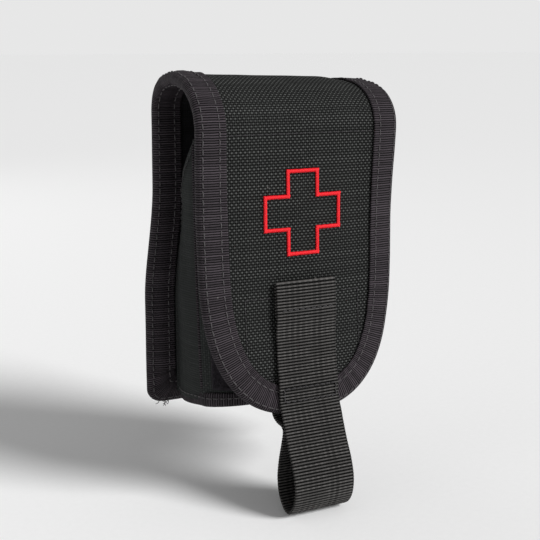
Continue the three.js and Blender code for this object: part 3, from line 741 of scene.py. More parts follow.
class POUCH_OT_materials(PouchOperator, bpy.types.Operator):
    """Make the shared node groups and every material"""

    bl_idname = "pouch.materials"
    bl_label = "Materials"

    def execute(self, context):
        c = colours()
        GROUPS.update(weave=weave_group(), ribs=rib_group(), handling=handling_group())
        MATERIALS.update(
            ballistic=woven_material(
                "Ballistic nylon", c.ballistic, 0.88 * MM, 1.05 * MM, 0.5 * MM,
                wander=0.2, warp_level=0.44, highlight_shares=(3.6, 8.5),
            ),
            pack=woven_material(
                "Pack cloth", c.pack, 0.6 * MM, 0.9 * MM, 0.07 * MM, lint=0.35, hole_shade=0.7, highlight_shares=(1.9, 3.6)
            ),
            tape=ribbed_material("Binding tape", c.tape, 0.92 * MM, 0.35 * MM),
            webbing=woven_material(
                "Pull webbing", c.webbing, WARP_COLUMN, WEBBING_RIB, 0.35 * MM, wander=0.1, rough=0.68,
                lint=0.3, stagger=0.0, weft_level=0.85, warp_level=0.5, lit=(0.5, 0.86), highlight_shares=(2.8, 6.4),
            ),
            lining=woven_material("Coated lining", c.lining, 0.35 * MM, 0.35 * MM, 0.08 * MM, rough=0.6),
            loop=pile_material("Loop fastener", (0.018, 0.0155, 0.019)),
            hook=pile_material("Hook fastener", (0.016, 0.015, 0.017)),
            foam=pile_material("Closed-cell foam", (0.020, 0.021, 0.024)),
            stiffener=moulded_material("Plastic stiffener", (0.012, 0.012, 0.013)),
            thread=thread_material("Sewing thread", (0.062, 0.056, 0.059)),
            dark_thread=thread_material("Dark thread", (0.022, 0.020, 0.022)),
            cross=thread_material("Cross thread", c.cross, 0.55, 0.5 * MM, 0.0),
            band=woven_material("Tourniquet band", c.band, *BAND_THREADS, basket=2.0, rough=0.6),
            tip=woven_material("Red band tip", c.tip, *BAND_THREADS, basket=2.0, rough=0.6),
            pale=woven_material("Pale strap", (0.62, 0.62, 0.58), 0.5 * MM, 0.4 * MM, 0.12 * MM, rough=0.7),
            moulded=moulded_material("Moulded nylon", c.moulding),
        )
        return {"FINISHED"}


# ---- Outlines of the bound sheet, in (x, s) ----
def back_half(z):
    return HALF_WIDTH + (WIDE_HALF - HALF_WIDTH) * (1 - smoothstep(z, FLARE[1], FLARE[0]))


def flap_half(z, inset=0.0):
    """Half width of the flap at a height, for an outline drawn inset from its edge."""
    half, drop = SHOULDER[0] - inset, SHOULDER[1] - FLAP_LOW - inset
    above = half + (HALF_WIDTH - inset - half) * smoothstep(z, SHOULDER[1], FOLD_FRONT[1])
    down = np.clip((SHOULDER[1] - z) / drop, 0, 1)
    below = half * (1 - down**ROUNDNESS) ** (1 / ROUNDNESS)
    return np.where(z > SHOULDER[1], above, below)


def rear_ring(inset, steps_side=150, steps_corner=60, steps_foot=60):
    """Rear outline at one inset, with the same count of points at every inset."""
    zone = TAPE_WIDTH + 3 * MM
    s = np.linspace(CROWN_S, zone, steps_side)
    side = np.stack([back_half(PROFILE.at(s)[0][:, 1]) - inset, s], -1)
    radius = max(BACK_CORNER - inset, 0.9 * MM)
    wide = WIDE_HALF - inset
    centre = (wide - radius, inset + radius)
    corner = Path(
        [(wide, zone)],
        arc(centre, radius, 0, -90, 16),
        [(WIDE_HALF - zone, inset)],
    )
    bend = corner.at(np.linspace(0, corner.length, steps_corner))[0]
    foot = np.linspace((WIDE_HALF - zone, inset), (zone - WIDE_HALF, inset), steps_foot)
    right = np.concatenate([side, bend[1:], foot[1:]])
    left = np.concatenate([side, bend[1:]])[::-1] * (-1, 1)
    return np.concatenate([right, left[1:]])


def front_ring(inset, steps_side=150, steps_round=240):
    """Front outline at one inset: from the crown at the right, round the flap, to the crown at the left."""
    start, shoulder = CROWN_S, float(along_at(SHOULDER[1]))
    s = np.linspace(start, shoulder, steps_side)
    side = np.stack([flap_half(PROFILE.at(s)[0][:, 1]) - inset, s], -1)
    turn = np.linspace(0, math.pi, steps_round)
    drop = float(along_at(FLAP_LOW)) - shoulder
    cos, sin = np.cos(turn), np.sin(turn)
    x = np.sign(cos) * SHOULDER[0] * np.abs(cos) ** (2 / ROUNDNESS)
    down = drop * sin ** (2 / ROUNDNESS)
    curve = Path(np.stack([x, shoulder + down], -1))
    point, tangent = curve.at(np.linspace(0, curve.length, steps_round))
    normal = np.stack([-tangent[:, 1], tangent[:, 0]], -1)
    normal *= np.sign(-(normal * (point - (0, shoulder))).sum(1))[:, None]
    rounded = point + normal * inset
    left = side[::-1] * (-1, 1)
    return np.concatenate([side, rounded[1:], left[1:]])


def tape_section():
    """Across the folded tape: (inset from the edge, offset from the shell face, distance across the tape)."""
    top, under = TAPE + TAPE_GAP, LINING[0] - TAPE_GAP - TAPE
    middle, rise = (top + under) / 2, (top - under) / 2
    legs = np.linspace(TAPE_WIDTH, 2.4 * MM, 13)
    turn = np.radians(np.linspace(80, -80, 11))
    wrap_in = 2.2 * MM * (1 - np.cos(turn))
    outer = [(d, top) for d in legs]
    outer += [(w, middle + rise * math.sin(a)) for w, a in zip(wrap_in, turn)]
    outer += [(d, under) for d in legs[::-1]]
    outer = np.array(outer)
    across = distance_along(outer)
    tangent = unit(np.gradient(outer, axis=0))
    inner = outer + np.stack([-tangent[:, 1], tangent[:, 0]], -1) * TAPE
    return outer, inner, across, middle


STITCH_INSETS = (1.9 * MM, 8.4 * MM)


def tape_loft(ring_at, seed):
    """The folded tape as a closed skin, swollen between its stitch rows and puckered along them."""
    outer, inner, across, middle = tape_section()
    puff = sizes().tape_puff
    base = ring_at(0.0)
    length = distance_along(base)
    sheets = []
    for line in (outer, inner[::-1]):
        for d, out in line:
            ring = ring_at(d)
            side = 1 if out > middle else -1
            quilt = min(abs(d - row) for row in STITCH_INSETS) / (2.4 * MM)
            dimple = 0.4 + 0.6 * np.cos(2 * math.pi * length / sizes().stitch_pitch) ** 2
            swell = puff * (min(quilt, 1) - (1 - min(quilt, 1)) * 0.6 * dimple)
            lump = 0.16 * MM * ripple(length, np.full_like(length, d), 190, seed)
            flat = 1.0 if d > 1.2 * MM else 0.25
            sheets.append(place(ring[:, 0], ring[:, 1], out + side * flat * (swell + lump)))
    rings = np.stack(sheets, 1)
    width = np.concatenate([across, across[::-1], across[:1]])
    uv = np.stack(np.broadcast_arrays(width[None, :], length[:, None]), -1)
    return loft_data(rings, uv)


def half_body(x_of, s_from, s_to, layer, step=1.4 * MM, columns=44, swell=0.0):
    count = max(int(abs(s_to - s_from) / step), 2)
    return sheet_loft(x_of, np.linspace(s_from, s_to, count), layer, columns, swell)


def rear_half(s):
    z = float(PROFILE.at(s)[0][1])
    foot = float(smoothstep(s, 0, BACK_CORNER))
    return float(back_half(z)) - 1.0 * MM - BACK_CORNER * (1 - foot) ** 2 * 0.6


def front_half(s):
    return float(flap_half(PROFILE.at(s)[0][1], 1.0 * MM))


def bend_rear(piece):
    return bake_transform(piece)


def bend_front(piece):
    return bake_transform(piece)


class POUCH_OT_cloth_layers(PouchOperator, bpy.types.Operator):
    """Lay up shell, foam or stiffener, and lining of the back panel, fold and flap"""

    bl_idname = "pouch.cloth_layers"
    bl_label = "Cloth layers"

    def execute(self, context):
        foot, tip = 1.0 * MM, float(along_at(FLAP_LOW + 1.0 * MM))
        bendy = float(PROFILE.s[np.searchsorted(PROFILE.s, BACK_TOP - BACK_BOTTOM)])
        layers = [
            ("shell", SHELL, "ballistic", "ballistic_nylon", "back_shell", "flap_shell"),
            ("lining", LINING, "lining", "lining", "back_lining", "flap_lining"),
        ]
        for label, layer, look, slot, back_node, flap_node in layers:
            rear_sheet = half_body(rear_half, foot, CROWN_S, layer)
            rear = skin(f"rear_{label}", [rear_sheet], look, slot=slot)
            bend_rear(rear)
            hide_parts(back_node)
            front_sheet = half_body(front_half, CROWN_S, tip, layer)
            front = skin(f"front_{label}", [front_sheet], look, slot=slot)
            bend_front(front)
            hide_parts(flap_node, f"fold_{label}")
        core_front = half_body(front_half, CROWN_S + CORE_GAP, tip, CORE)
        core_rear = half_body(rear_half, bendy, CROWN_S - CORE_GAP, CORE)
        front = skin("front_foam", [core_front], "foam", slot="foam")
        bend_front(front)
        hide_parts("flap_foam", "fold_foam")
        rear = skin("rear_foam", [core_rear], "foam", slot="foam")
        bend_rear(rear)
        sheet = half_body(lambda s: rear_half(s) - 1.2 * MM, 4 * foot, bendy - CORE_GAP, CORE)
        stiffener = skin("panel_stiffener", [sheet], "stiffener", "root", "stiffener")
        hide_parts("back_stiffener")
        return {"FINISHED"}


class POUCH_OT_binding(PouchOperator, bpy.types.Operator):
    """Fold ribbed tape round every edge of the sheet and sew it down with two rows"""

    bl_idname = "pouch.binding"
    bl_label = "Edge binding"

    def execute(self, context):
        rear = skin("rear_binding", [tape_loft(rear_ring, 5.0)], "tape", slot="binding_tape")
        bend_rear(rear)
        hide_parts("back_binding")
        front = skin("front_binding", [tape_loft(front_ring, 9.0)], "tape", slot="binding_tape")
        bend_front(front)
        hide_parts("flap_binding", "fold_binding_left", "fold_binding_right")
        for label, ring_at, bend in (("rear", rear_ring, bend_rear), ("front", front_ring, bend_front)):
            lofts = []
            for number, inset in enumerate(STITCH_INSETS):
                ring = ring_at(inset)
                for side, level in ((1, TAPE - TAPE_GAP), (-1, LINING[0] - TAPE + TAPE_GAP)):
                    points, normals = sheet_line(ring[:, 0], ring[:, 1], np.full(len(ring), level))
                    lofts += stitch_row(
                        points, normals * side, sizes().stitch_pitch, sizes().thread_radius,
                        seed=number * 7 + side + 3,
                    )
            piece = skin(f"{label}_binding_stitches", lofts, "thread", slot="binding_tape")
            bend(piece)
        return {"FINISHED"}


# ---- Work on the flap's face ----
class POUCH_OT_flap_sewing(PouchOperator, bpy.types.Operator):
    """Sew the seam across the top of the flap and the rows that hold its fasteners"""

    bl_idname = "pouch.flap_sewing"
    bl_label = "Flap sewing"

    def execute(self, context):
        inner = TAPE_WIDTH + 0.5 * MM
        half = HALF_WIDTH - inner
        lofts = []
        rows = [(half, 51.5 * MM), (25 * MM, -9.5 * MM), (25 * MM, -40.5 * MM)]
        for number, (reach, z) in enumerate(rows):
            x = np.linspace(-reach, reach, 60)
            points, normals = sheet_line(x, np.full(60, float(along_at(z))), np.full(60, 0.02 * MM))
            lofts += stitch_row(points, normals, 2.8 * MM, sizes().thread_radius * 0.8, seed=40 + number)
        for side in (-1, 1):
            z = np.linspace(-9.5 * MM, -40.5 * MM, 40)
            points, normals = sheet_line(np.full(40, side * 24.3 * MM), along_at(z), np.full(40, 0.02 * MM))
            lofts += stitch_row(points, normals, 2.8 * MM, sizes().thread_radius * 0.8, seed=50 + side)
        piece = skin("flap_stitches", lofts, "dark_thread", slot="ballistic_nylon")
        bend_front(piece)
        return {"FINISHED"}


def cross_outline():
    """Corners of the even-armed cross, in order round it."""
    reach, arm = CROSS["reach"], CROSS["arm"]
    quarter = [(reach, -arm), (reach, arm), (arm, arm)]
    corners = []
    for cos, sin in ((1, 0), (0, 1), (-1, 0), (0, -1)):
        corners += [(a * cos - b * sin, a * sin + b * cos + CROSS["z"]) for a, b in quarter]
    return corners


class POUCH_OT_cross(PouchOperator, bpy.types.Operator):
    """Embroider the outline of an even-armed cross in satin stitch"""

    bl_idname = "pouch.cross"
    bl_label = "Cross"

    def execute(self, context):
        chance = random.Random(12)
        corners = cross_outline()
        width, pitch = 0.62 * MM, 0.3 * MM
        lofts = []
        for k, start in enumerate(corners):
            a, b = np.array(start), np.array(corners[(k + 1) % len(corners)])
            way = (b - a) / np.linalg.norm(b - a)
            side = np.array([-way[1], way[0]])
            count = int(round(np.linalg.norm(b - a) / pitch))
            for i in range(-2, count + 2):
                middle = a + way * (i + 0.5) * pitch
                left, right = width * chance.uniform(0.88, 1.1), width * chance.uniform(0.88, 1.1)
                slant = 0.22 * MM
                t = np.linspace(-1, 1, 7)
                reach = np.where(t > 0, left, right) * t
                line = middle + side * reach[:, None] + way * (slant * t)[:, None]
                rise = 0.12 * MM + 0.55 * MM * np.sqrt(np.clip(1 - t**2, 0, 1)) + chance.uniform(0, 0.05) * MM
                x, s = line[:, 0], along_at(line[:, 1])
                lofts.append(tube_loft(place(x, s, rise), 0.19 * MM, 6, taper=False))
        skin("cross_embroidery", lofts, "cross", "flap", "red_thread", "medical_cross")
        return {"FINISHED"}


# ---- Pull strap and loop ----
def flap_point(z, out):
    point, turn = PROFILE.at(along_at(z))
    return (float(point[0] + turn[1] * out), float(point[1] - turn[0] * out))


def bow(x, z):
    return FLAP_BOW * x * x * (1 - smoothstep(z, 15 * MM, 60 * MM)) * smoothstep(z, -60 * MM, -50 * MM)


def webbing_ridge(x, s):
    """Round cross ribs whose valleys are dips in the face."""
    across = 1 - 0.25 * np.cos(math.pi * x / WARP_COLUMN) ** 2
    return sizes().rib_height * (np.abs(np.sin(math.pi * s / WEBBING_RIB)) * 2 - 1) * across


def strap_path():
    """From the turned-under end, over the fold at the top, down the flap, round the loop and up behind it."""
    on_shell, on_tape = 0.3 * MM + WEBBING / 2, TAPE + 0.7 * MM + WEBBING / 2
    over = on_shell + WEBBING + 0.15 * MM
    heights = [(-17, on_shell), (-8, on_shell)]
    points = [flap_point(z * MM, out) for z, out in heights]
    points += [flap_point(-4.7 * MM, on_shell + 0.15 * MM), flap_point(-4.0 * MM, (on_shell + over) / 2)]
    points += [flap_point(-4.9 * MM, over), flap_point(-9 * MM, over + 0.05 * MM), flap_point(-17 * MM, over)]
    points += [flap_point(-23 * MM, on_shell + 0.5 * MM), flap_point(-30 * MM, on_shell + 0.35 * MM)]
    points += [flap_point(-36 * MM, on_shell + 0.5 * MM), flap_point(-41.5 * MM, on_tape)]
    points += [flap_point(-46 * MM, on_tape), flap_point(-50 * MM, on_tape)]
    points += [(-55.4 * MM, -54.5 * MM), (-57.15 * MM, -59.2 * MM)]
    loop = [(-60.0, -65.5), (-63.6, -72.5), (-65.4, -80), (-63.6, -87.3), (-58.6, -91.0), (-53.4, -87.6)]
    loop += [(-51.2, -80.5), (-52.2, -72.5), (-54.2, -65.5), (-55.5, -59.6)]
    points += [(y * MM, z * MM) for y, z in loop]
    behind = LINING[0] - 0.3 * MM - TAPE - 0.7 * MM - WEBBING / 2
    points += [(-54.0 * MM, -57.9 * MM), (-50.4 * MM, -57.4 * MM), (-47.2 * MM, -55.8 * MM)]
    points += [flap_point(-52.0 * MM, behind), flap_point(-49 * MM, behind), flap_point(-45.5 * MM, behind)]
    return spline(points, 16)


class POUCH_OT_pull_strap(PouchOperator, bpy.types.Operator):
    """Weave the pull strap with its loop in one length and box-stitch it to the flap"""

    bl_idname = "pouch.pull_strap"
    bl_label = "Pull strap and loop"

    def execute(self, context):
        path = strap_path()
        rows = int(path.length / WEBBING_RIB * 6)
        strap = ribbon_loft(path, STRAP_HALF, WEBBING, rows, 34, bow, webbing_ridge)
        piece = skin("pull_webbing", [strap], "webbing", slot="webbing")
        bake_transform(piece)
        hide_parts("pull_strap", "pull_strap_tail", "pull_loop")
        self.sew()
        return {"FINISHED"}

    def sew(self):
        """Bar tacks across the strap's top and foot, and a box between them at the foot."""
        lofts = []
        on_tape = TAPE + 0.7 * MM + WEBBING + 0.12 * MM
        on_shell = 0.3 * MM + WEBBING + 0.55 * MM
        edge = STRAP_HALF - 1.6 * MM
        across = [(-44.2 * MM, on_tape), (-49.2 * MM, on_tape), (-14.2 * MM, on_shell + WEBBING)]
        for number, (z, out) in enumerate(across):
            x = np.linspace(-edge, edge, 30)
            points, normals = sheet_line(x, np.full(30, float(along_at(z))), np.full(30, out))
            lofts += stitch_row(points, normals, 2.4 * MM, 0.25 * MM, seed=70 + number)
        for side in (-1, 1):
            z = np.linspace(-44.2 * MM, -49.2 * MM, 12)
            points, normals = sheet_line(np.full(12, side * edge), along_at(z), np.full(12, on_tape))
            lofts += stitch_row(points, normals, 2.2 * MM, 0.25 * MM, seed=80 + side)
        skin("pull_strap_stitches", lofts, "dark_thread", "flap", "webbing")


# ---- Pocket ----
BOTTOM_SLOPE = (POCKET_TOE[1] - POCKET_REAR[1]) / (POCKET_TOE[0] - POCKET_REAR[0])


def bottom_z(y):
    return POCKET_REAR[1] + BOTTOM_SLOPE * (y - POCKET_REAR[0])


def pocket_settle(x):
    return POCKET_ROUND * np.abs(x / POCKET_HALF) ** 5


def side_plan(z):
    """Middle line of the right pocket side at a height, from the back panel to the front seam, as (x, y)."""
    root = float(back_half(z)) - TAPE_WIDTH - 1.6 * MM
    flange = -4.6 * MM
    corner_y = float(face_y(z)) - POCKET_WALL[0] + POCKET_ROUND + 0.3 * MM
    start = (root, flange - 1.2 * MM)
    bend = bezier([(root + 1.4 * MM, flange), (root, flange), start], 8)
    corner = (POCKET_HALF - FABRIC, corner_y)
    wall = bezier([start, (root + 3 * MM, -12 * MM), (38.5 * MM, -19 * MM), corner], 40)
    return Path(bend, wall)


def side_loft(side):
    """One bulging side of the pocket, between the pocket bottom and its slanting turned hem."""
    plans = {}

    def plan_point(t, z):
        key = round(z / (0.5 * MM))
        if key not in plans:
            plans[key] = side_plan(key * 0.5 * MM)
        plan = plans[key]
        return plan.at(t * plan.length)

    (rear_y, rear_z), (front_y, front_z) = SIDE_CUT
    rows, cols = 46, 76
    ring_list, uv_list = [], []
    for t in np.linspace(0, 1, rows):
        top = 20 * MM
        for _ in range(12):
            y = float(plan_point(t, top)[0][1])
            share = np.clip((rear_y - y) / (rear_y - front_y), 0, 1)
            top = 0.5 * top + 0.5 * (rear_z + (front_z - rear_z) * share ** 0.9)
        foot = bottom_z(float(plan_point(t, -50 * MM)[0][1])) + 0.4 * MM
        heights = foot + (top - foot) * np.linspace(0, 1, cols)
        outer, inner, flat = [], [], []
        for z in heights:
            point, turn = plan_point(t, z)
            along = t * 45 * MM
            hem = float(smoothstep(z, top - 5.2 * MM, top - 4.4 * MM))
            rolled = math.sqrt(max(1 - max((z - top + 1.1 * MM) / (1.1 * MM), 0) ** 2, 0.02))
            thick = FABRIC / 2 + 0.38 * MM * hem
            free = math.sin(math.pi * min(t * 1.02, 1)) * float(smoothstep(z, foot, foot + 9 * MM))
            crease = noise.noise((along * 55, z * 26 + along * 30, 2.0))
            crease += 0.4 * noise.noise((along * 160, z * 80, 5.0))
            swell = sizes().pocket_swell * free * (0.5 + crease)
            normal = (-turn[1], turn[0])
            level = swell + thick * rolled
            outer.append((point[0] - normal[0] * -level, point[1] - normal[1] * -level, z))
            level = swell - thick * rolled
            inner.append((point[0] - normal[0] * -level, point[1] - normal[1] * -level, z))
            flat.append((along, z))
        ring_list.append(outer + inner[::-1])
        uv_list.append(flat + flat[::-1] + flat[:1])
    rings = np.array(ring_list)
    rings[..., 0] *= side
    return loft_data(rings, np.array(uv_list)), rings


def pocket_front_point(x, z, out):
    s = along_at(z)
    point, turn = PROFILE.at(s)
    y = point[..., 0] + turn[..., 1] * out + pocket_settle(x)
    height = point[..., 1] - turn[..., 0] * out
    return np.stack(np.broadcast_arrays(x, y, height), -1)


def front_loft(out_low, out_high, half, z_low, z_high, rows=70, cols=46, swell=0.0):
    """A curved upright panel of the pocket front between two offsets."""
    z = np.linspace(z_low, z_high, rows)
    x = np.linspace(-half, half, cols)
    grid_x, grid_z = np.meshgrid(x, z)
    soft = swell * (1 - (grid_x / half) ** 2) * ripple(grid_x, grid_z, 40, 4.0)
    outer = pocket_front_point(grid_x, grid_z, out_high + soft)
    inner = pocket_front_point(grid_x, grid_z, out_low + soft)
    return two_faced(outer, inner, grid_x, grid_z)


def foot_line(grow):
    """The wall's outer line at the pocket's foot, from the right rear, round the front, to the left rear."""
    plan = side_plan(POCKET_TOE[1])
    point, turn = plan.at(np.linspace(plan.length * 0.12, plan.length, 40))
    side = point + np.stack([turn[:, 1], -turn[:, 0]], -1) * (FABRIC / 2 + 0.3 * MM)
    side = side[side[:, 0] > 0]
    front_y = float(face_y(POCKET_TOE[1])) - POCKET_WALL[1]
    x = np.linspace(POCKET_HALF - 0.4 * MM, 0, 30)
    front = np.stack([x, front_y + pocket_settle(x)], -1)
    right = np.concatenate([side[side[:, 1] > front[0, 1] + 2 * MM], front])
    line = np.concatenate([right, (right[:-1] * (-1, 1))[::-1]])
    path = Path(line)
    line = path.at(np.linspace(0, path.length, FOOT_POINTS))[0]
    for _ in range(30):
        line[1:-1] = (line[:-2] + 2 * line[1:-1] + line[2:]) / 4
    tangent = unit(np.gradient(line, axis=0))
    normal = np.stack([-tangent[:, 1], tangent[:, 0]], -1)
    normal *= np.sign((normal * (line - (0, -20 * MM))).sum(1).mean())
    return line + normal * grow, normal


class POUCH_OT_pocket(PouchOperator, bpy.types.Operator):
    """Shape the pocket's sides, front and bottom with their hems, corner seams and bar tacks"""

    bl_idname = "pouch.pocket"
    bl_label = "Pocket"

    def execute(self, context):
        self.make_sides()
        self.make_front()
        self.make_bottom()
        return {"FINISHED"}

    def make_sides(self):
        for side, label in ((1, "right"), (-1, "left")):
            loft, rings = side_loft(side)
            piece = skin(
                f"pocket_cloth_{label}", [loft], "pack", "root", "pack_cloth", f"pocket_side_{label}"
            )
            width, height = side_plan(0).length, POCKET_TOP - POCKET_TOE[1]
            cols = rings.shape[1] // 2
            hem_row = int(cols * HEM_SHARE)
            line = rings[2:-1, hem_row]
            out = unit(line - rings[2:-1, 2 * cols - 1 - hem_row])
            lofts = stitch_row(line, out, *HEM_STITCH, seed=90 + side)
            skin(f"pocket_hem_stitches_{label}", lofts, "dark_thread", "root", "pack_cloth")
            self.make_bar_tack(rings, cols, label)
            seam = rings[-1, 3 : cols - 1] * 0.5 + rings[-1, ::-1][3 : cols - 1] * 0.5
            seam = seam + np.array([side * 0.25 * MM, -0.5 * MM, 0])
            ridge = tube_loft(seam, 1.05 * MM, 10, squash=0.8)
            skin(f"pocket_corner_seam_{label}", [ridge], "tape", "root", "binding_tape")

    def make_bar_tack(self, rings, cols, label):
        """A dense zigzag where the hem meets the back panel's binding."""
        zigzag = []
        base = cols - 4
        for k in range(26):
            row = 4 + (k % 2) * 5
            column = base - int(k * 0.32)
            out = rings[row, column] - rings[row, 2 * cols - 1 - column]
            zigzag.append(rings[row, column] + unit(out) * 0.28 * MM)
        fine = close_points(zigzag, 5)
        skin(f"bar_tack_{label}", [tube_loft(fine, 0.22 * MM, 6)], "thread", "root", "pack_cloth")

    def make_front(self):
        foot = POCKET_TOE[1] + 1.2 * MM
        wall = front_loft(*POCKET_WALL, POCKET_HALF, foot, POCKET_TOP, swell=0.5 * MM)
        piece = skin("pocket_cloth_front", [wall], "pack", "root", "pack_cloth", "pocket_front")
        x = np.linspace(-POCKET_HALF + 1 * MM, POCKET_HALF - 1 * MM, 60)
        z = np.full(60, POCKET_TOP - 5 * MM)
        line = pocket_front_point(x, z, POCKET_WALL[1] + 0.02 * MM)
        out = line - pocket_front_point(x, z, POCKET_WALL[1] - 1 * MM)
        rows = stitch_row(line, unit(out), *HEM_STITCH, seed=99)
        skin("pocket_front_stitches", rows, "dark_thread", "root", "pack_cloth")

    def make_bottom(self):
        line, _ = foot_line(-0.6 * MM)
        top = [(x, y, bottom_z(y)) for x, y in line]
        work = bmesh.new()
        rim = [work.verts.new(p) for p in top]
        base = [work.verts.new((x, y, z - 1.2 * MM)) for x, y, z in top]
        work.faces.new(rim)
        work.faces.new(base[::-1])
        for a, b, c, d in zip(rim, rim[1:] + rim[:1], base[1:] + base[:1], base):
            work.faces.new((a, d, c, b))
        bmesh.ops.recalc_face_normals(work, faces=work.faces)
        layer = work.loops.layers.uv.new("UVMap")
        for face in work.faces:
            for loop in face.loops:
                loop[layer].uv = (loop.vert.co.x, loop.vert.co.y)
        mesh = bpy.data.meshes.new("pocket_floor")
        work.to_mesh(mesh)
        work.free()
        piece = new_object("pocket_floor", mesh, material("pack"), "root", smooth=False)
        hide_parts("pocket_bottom")


def close_points(points, steps):
    """Close points through a rough 3D line."""
    p = np.asarray(points, float)
    t = np.linspace(0, len(p) - 1, (len(p) - 1) * steps)
    return np.stack([np.interp(t, np.arange(len(p)), p[:, c]) for c in range(3)], -1)


class POUCH_OT_bottom_tape(PouchOperator, bpy.types.Operator):
    """Wrap ribbed tape round the pocket's foot and sew it"""

    bl_idname = "pouch.bottom_tape"
    bl_label = "Pocket bottom tape"

    def execute(self, context):
        line, normal = foot_line(0.0)
        length = distance_along(line)
        under = -2.2 * MM
        rise = np.interp(line[:, 1], [POCKET_TOE[0], POCKET_REAR[0]], [3.2 * MM, 5.6 * MM])
        outer = [(0.35, 1.0), (0.75, 0.93), (1.0, 0.7), (1.1, 0.4), (1.1, 0.1)]
        ring_list, uv_list = [], []
        wobble = 0.25 * MM * ripple(length, length * 0, 120, 6.0)
        for k, (point, out) in enumerate(zip(line, normal)):
            top = rise[k] + wobble[k]
            section = [(grow * MM, top * share) for grow, share in outer]
            section += [(0.95 * MM, -1.2 * MM), (0.3 * MM, -2.0 * MM)]
            section += [(grow * MM, under) for grow in (-0.8, -3, -6)]
            section += [(grow * MM, under + TAPE) for grow in (-6, -0.8)]
            section += [(0.15 * MM, -1.0 * MM), (0.3 * MM, 0.5 * MM)]
            section += [(0.25 * MM, top * 0.5), (0.12 * MM, top * 0.97)]
            ring = []
            across = [0.0]
            for i, (grow, level) in enumerate(section):
                x, y = point + out * (grow + wobble[k] * 0.4)
                ring.append((x, y, bottom_z(y) + level))
                if i:
                    across.append(across[-1] + math.dist(section[i - 1], section[i]))
            ring_list.append(ring)
            across.append(across[-1] + 0.5 * MM)
            uv_list.append([(a, length[k]) for a in across])
        loft = loft_data(np.array(ring_list), np.array(uv_list))
        skin("pocket_foot_tape", [loft], "tape", "root", "binding_tape", "pocket_bottom_binding")
        points = np.array([
            (*(p + o * 1.12 * MM), bottom_z(p[1]) + r * 0.45) for p, o, r in zip(line, normal, rise)
        ])
        normals = np.concatenate([normal, np.zeros((len(normal), 1))], 1)
        rows = stitch_row(points, normals, 2.8 * MM, 0.22 * MM, seed=120)
        skin("foot_tape_stitches", rows, "thread", "root", "binding_tape")
        return {"FINISHED"}


# ---- Fastener tapes ----
def curl(base, out, side, size, chance):
    """One bent fibre of pile that stands up and comes down again."""
    t = np.linspace(0, math.pi, 6)
    lean = chance.uniform(-0.6, 0.6)
    up = out * (np.sin(t) * size)[:, None]
    across = side * ((1 - np.cos(t)) * size * 0.5)[:, None]
    turn = np.cross(out, side) * (np.sin(t) * size * lean)[:, None]
    return tube_loft(base + up + across + turn, 0.07 * MM, 4, taper=False)


class POUCH_OT_fasteners(PouchOperator, bpy.types.Operator):
    """Lay the loop pile on the pocket and the hook tape under the flap"""

    bl_idname = "pouch.fasteners"
    bl_label = "Hook and loop"

    def execute(self, context):
        self.loop_tape()
        self.hook_tape()
        return {"FINISHED"}

    def loop_tape(self):
        chance = random.Random(31)
        box_low, box_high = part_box("pocket_loop_tape")
        half = POCKET_HALF - 2.6 * MM
        ground = (POCKET_WALL[1] + 0.05 * MM, LOOP_TAPE[0] + 0.9 * MM)
        base = front_loft(*ground, half, box_low.z, box_high.z, 50, 50)
        lofts = [base]
        for _ in range(4600):
            x = chance.uniform(-half, half)
            if abs(x) < 14 * MM and chance.random() < 0.4:
                continue
            z = chance.uniform(box_low.z + 0.5 * MM, box_high.z - 0.5 * MM)
            foot = pocket_front_point(x, z, LOOP_TAPE[0] + 0.85 * MM)
            out = unit(pocket_front_point(x, z, LOOP_TAPE[0] + 1.85 * MM) - foot)
            way = chance.uniform(0, 2 * math.pi)
            side = unit(np.cross(out, (math.cos(way), 0.2, math.sin(way))))
            lofts.append(curl(foot, out, side, chance.uniform(0.3, 0.65) * MM, chance))
        skin("loop_pile", lofts, "loop", "root", "loop_fastener", "pocket_loop_tape")

    def hook_tape(self):
        box_low, box_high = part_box("flap_hook_tape")
        rows, cols, half = 30, 30, box_high.x
        z = np.linspace(box_high.z - 0.5 * MM, box_low.z + 0.5 * MM, rows)
        grid_x, grid_z = np.meshgrid(np.linspace(-half, half, cols), z)
        s = along_at(grid_z)
        face = place(grid_x, s, np.full(s.shape, HOOK_TAPE[0] + 0.55 * MM))
        rear = place(grid_x, s, np.full(s.shape, HOOK_TAPE[1]))
        lofts = [two_faced(face, rear, grid_x, s)]
        reach = half - 0.9 * MM
        for row, height in enumerate(np.arange(box_low.z + 1.2 * MM, box_high.z - 1.0 * MM, 1.25 * MM)):
            for column, x in enumerate(np.arange(-reach, reach, 1.15 * MM)):
                station = float(along_at(height))
                way = 1 if (row + column) % 2 else -1
                t = np.linspace(0, 1, 5)
                lift = HOOK_TAPE[0] + 0.6 * MM - 0.8 * MM * np.sin(t * math.pi * 0.75)
                line = place(x + way * 0.35 * MM * (1 - np.cos(t * math.pi)) / 2, np.full(5, station), lift)
                lofts.append(tube_loft(line, 0.09 * MM, 4, taper=False))
        skin("hook_tape", lofts, "hook", "flap", "hook_fastener", "flap_hook_tape")


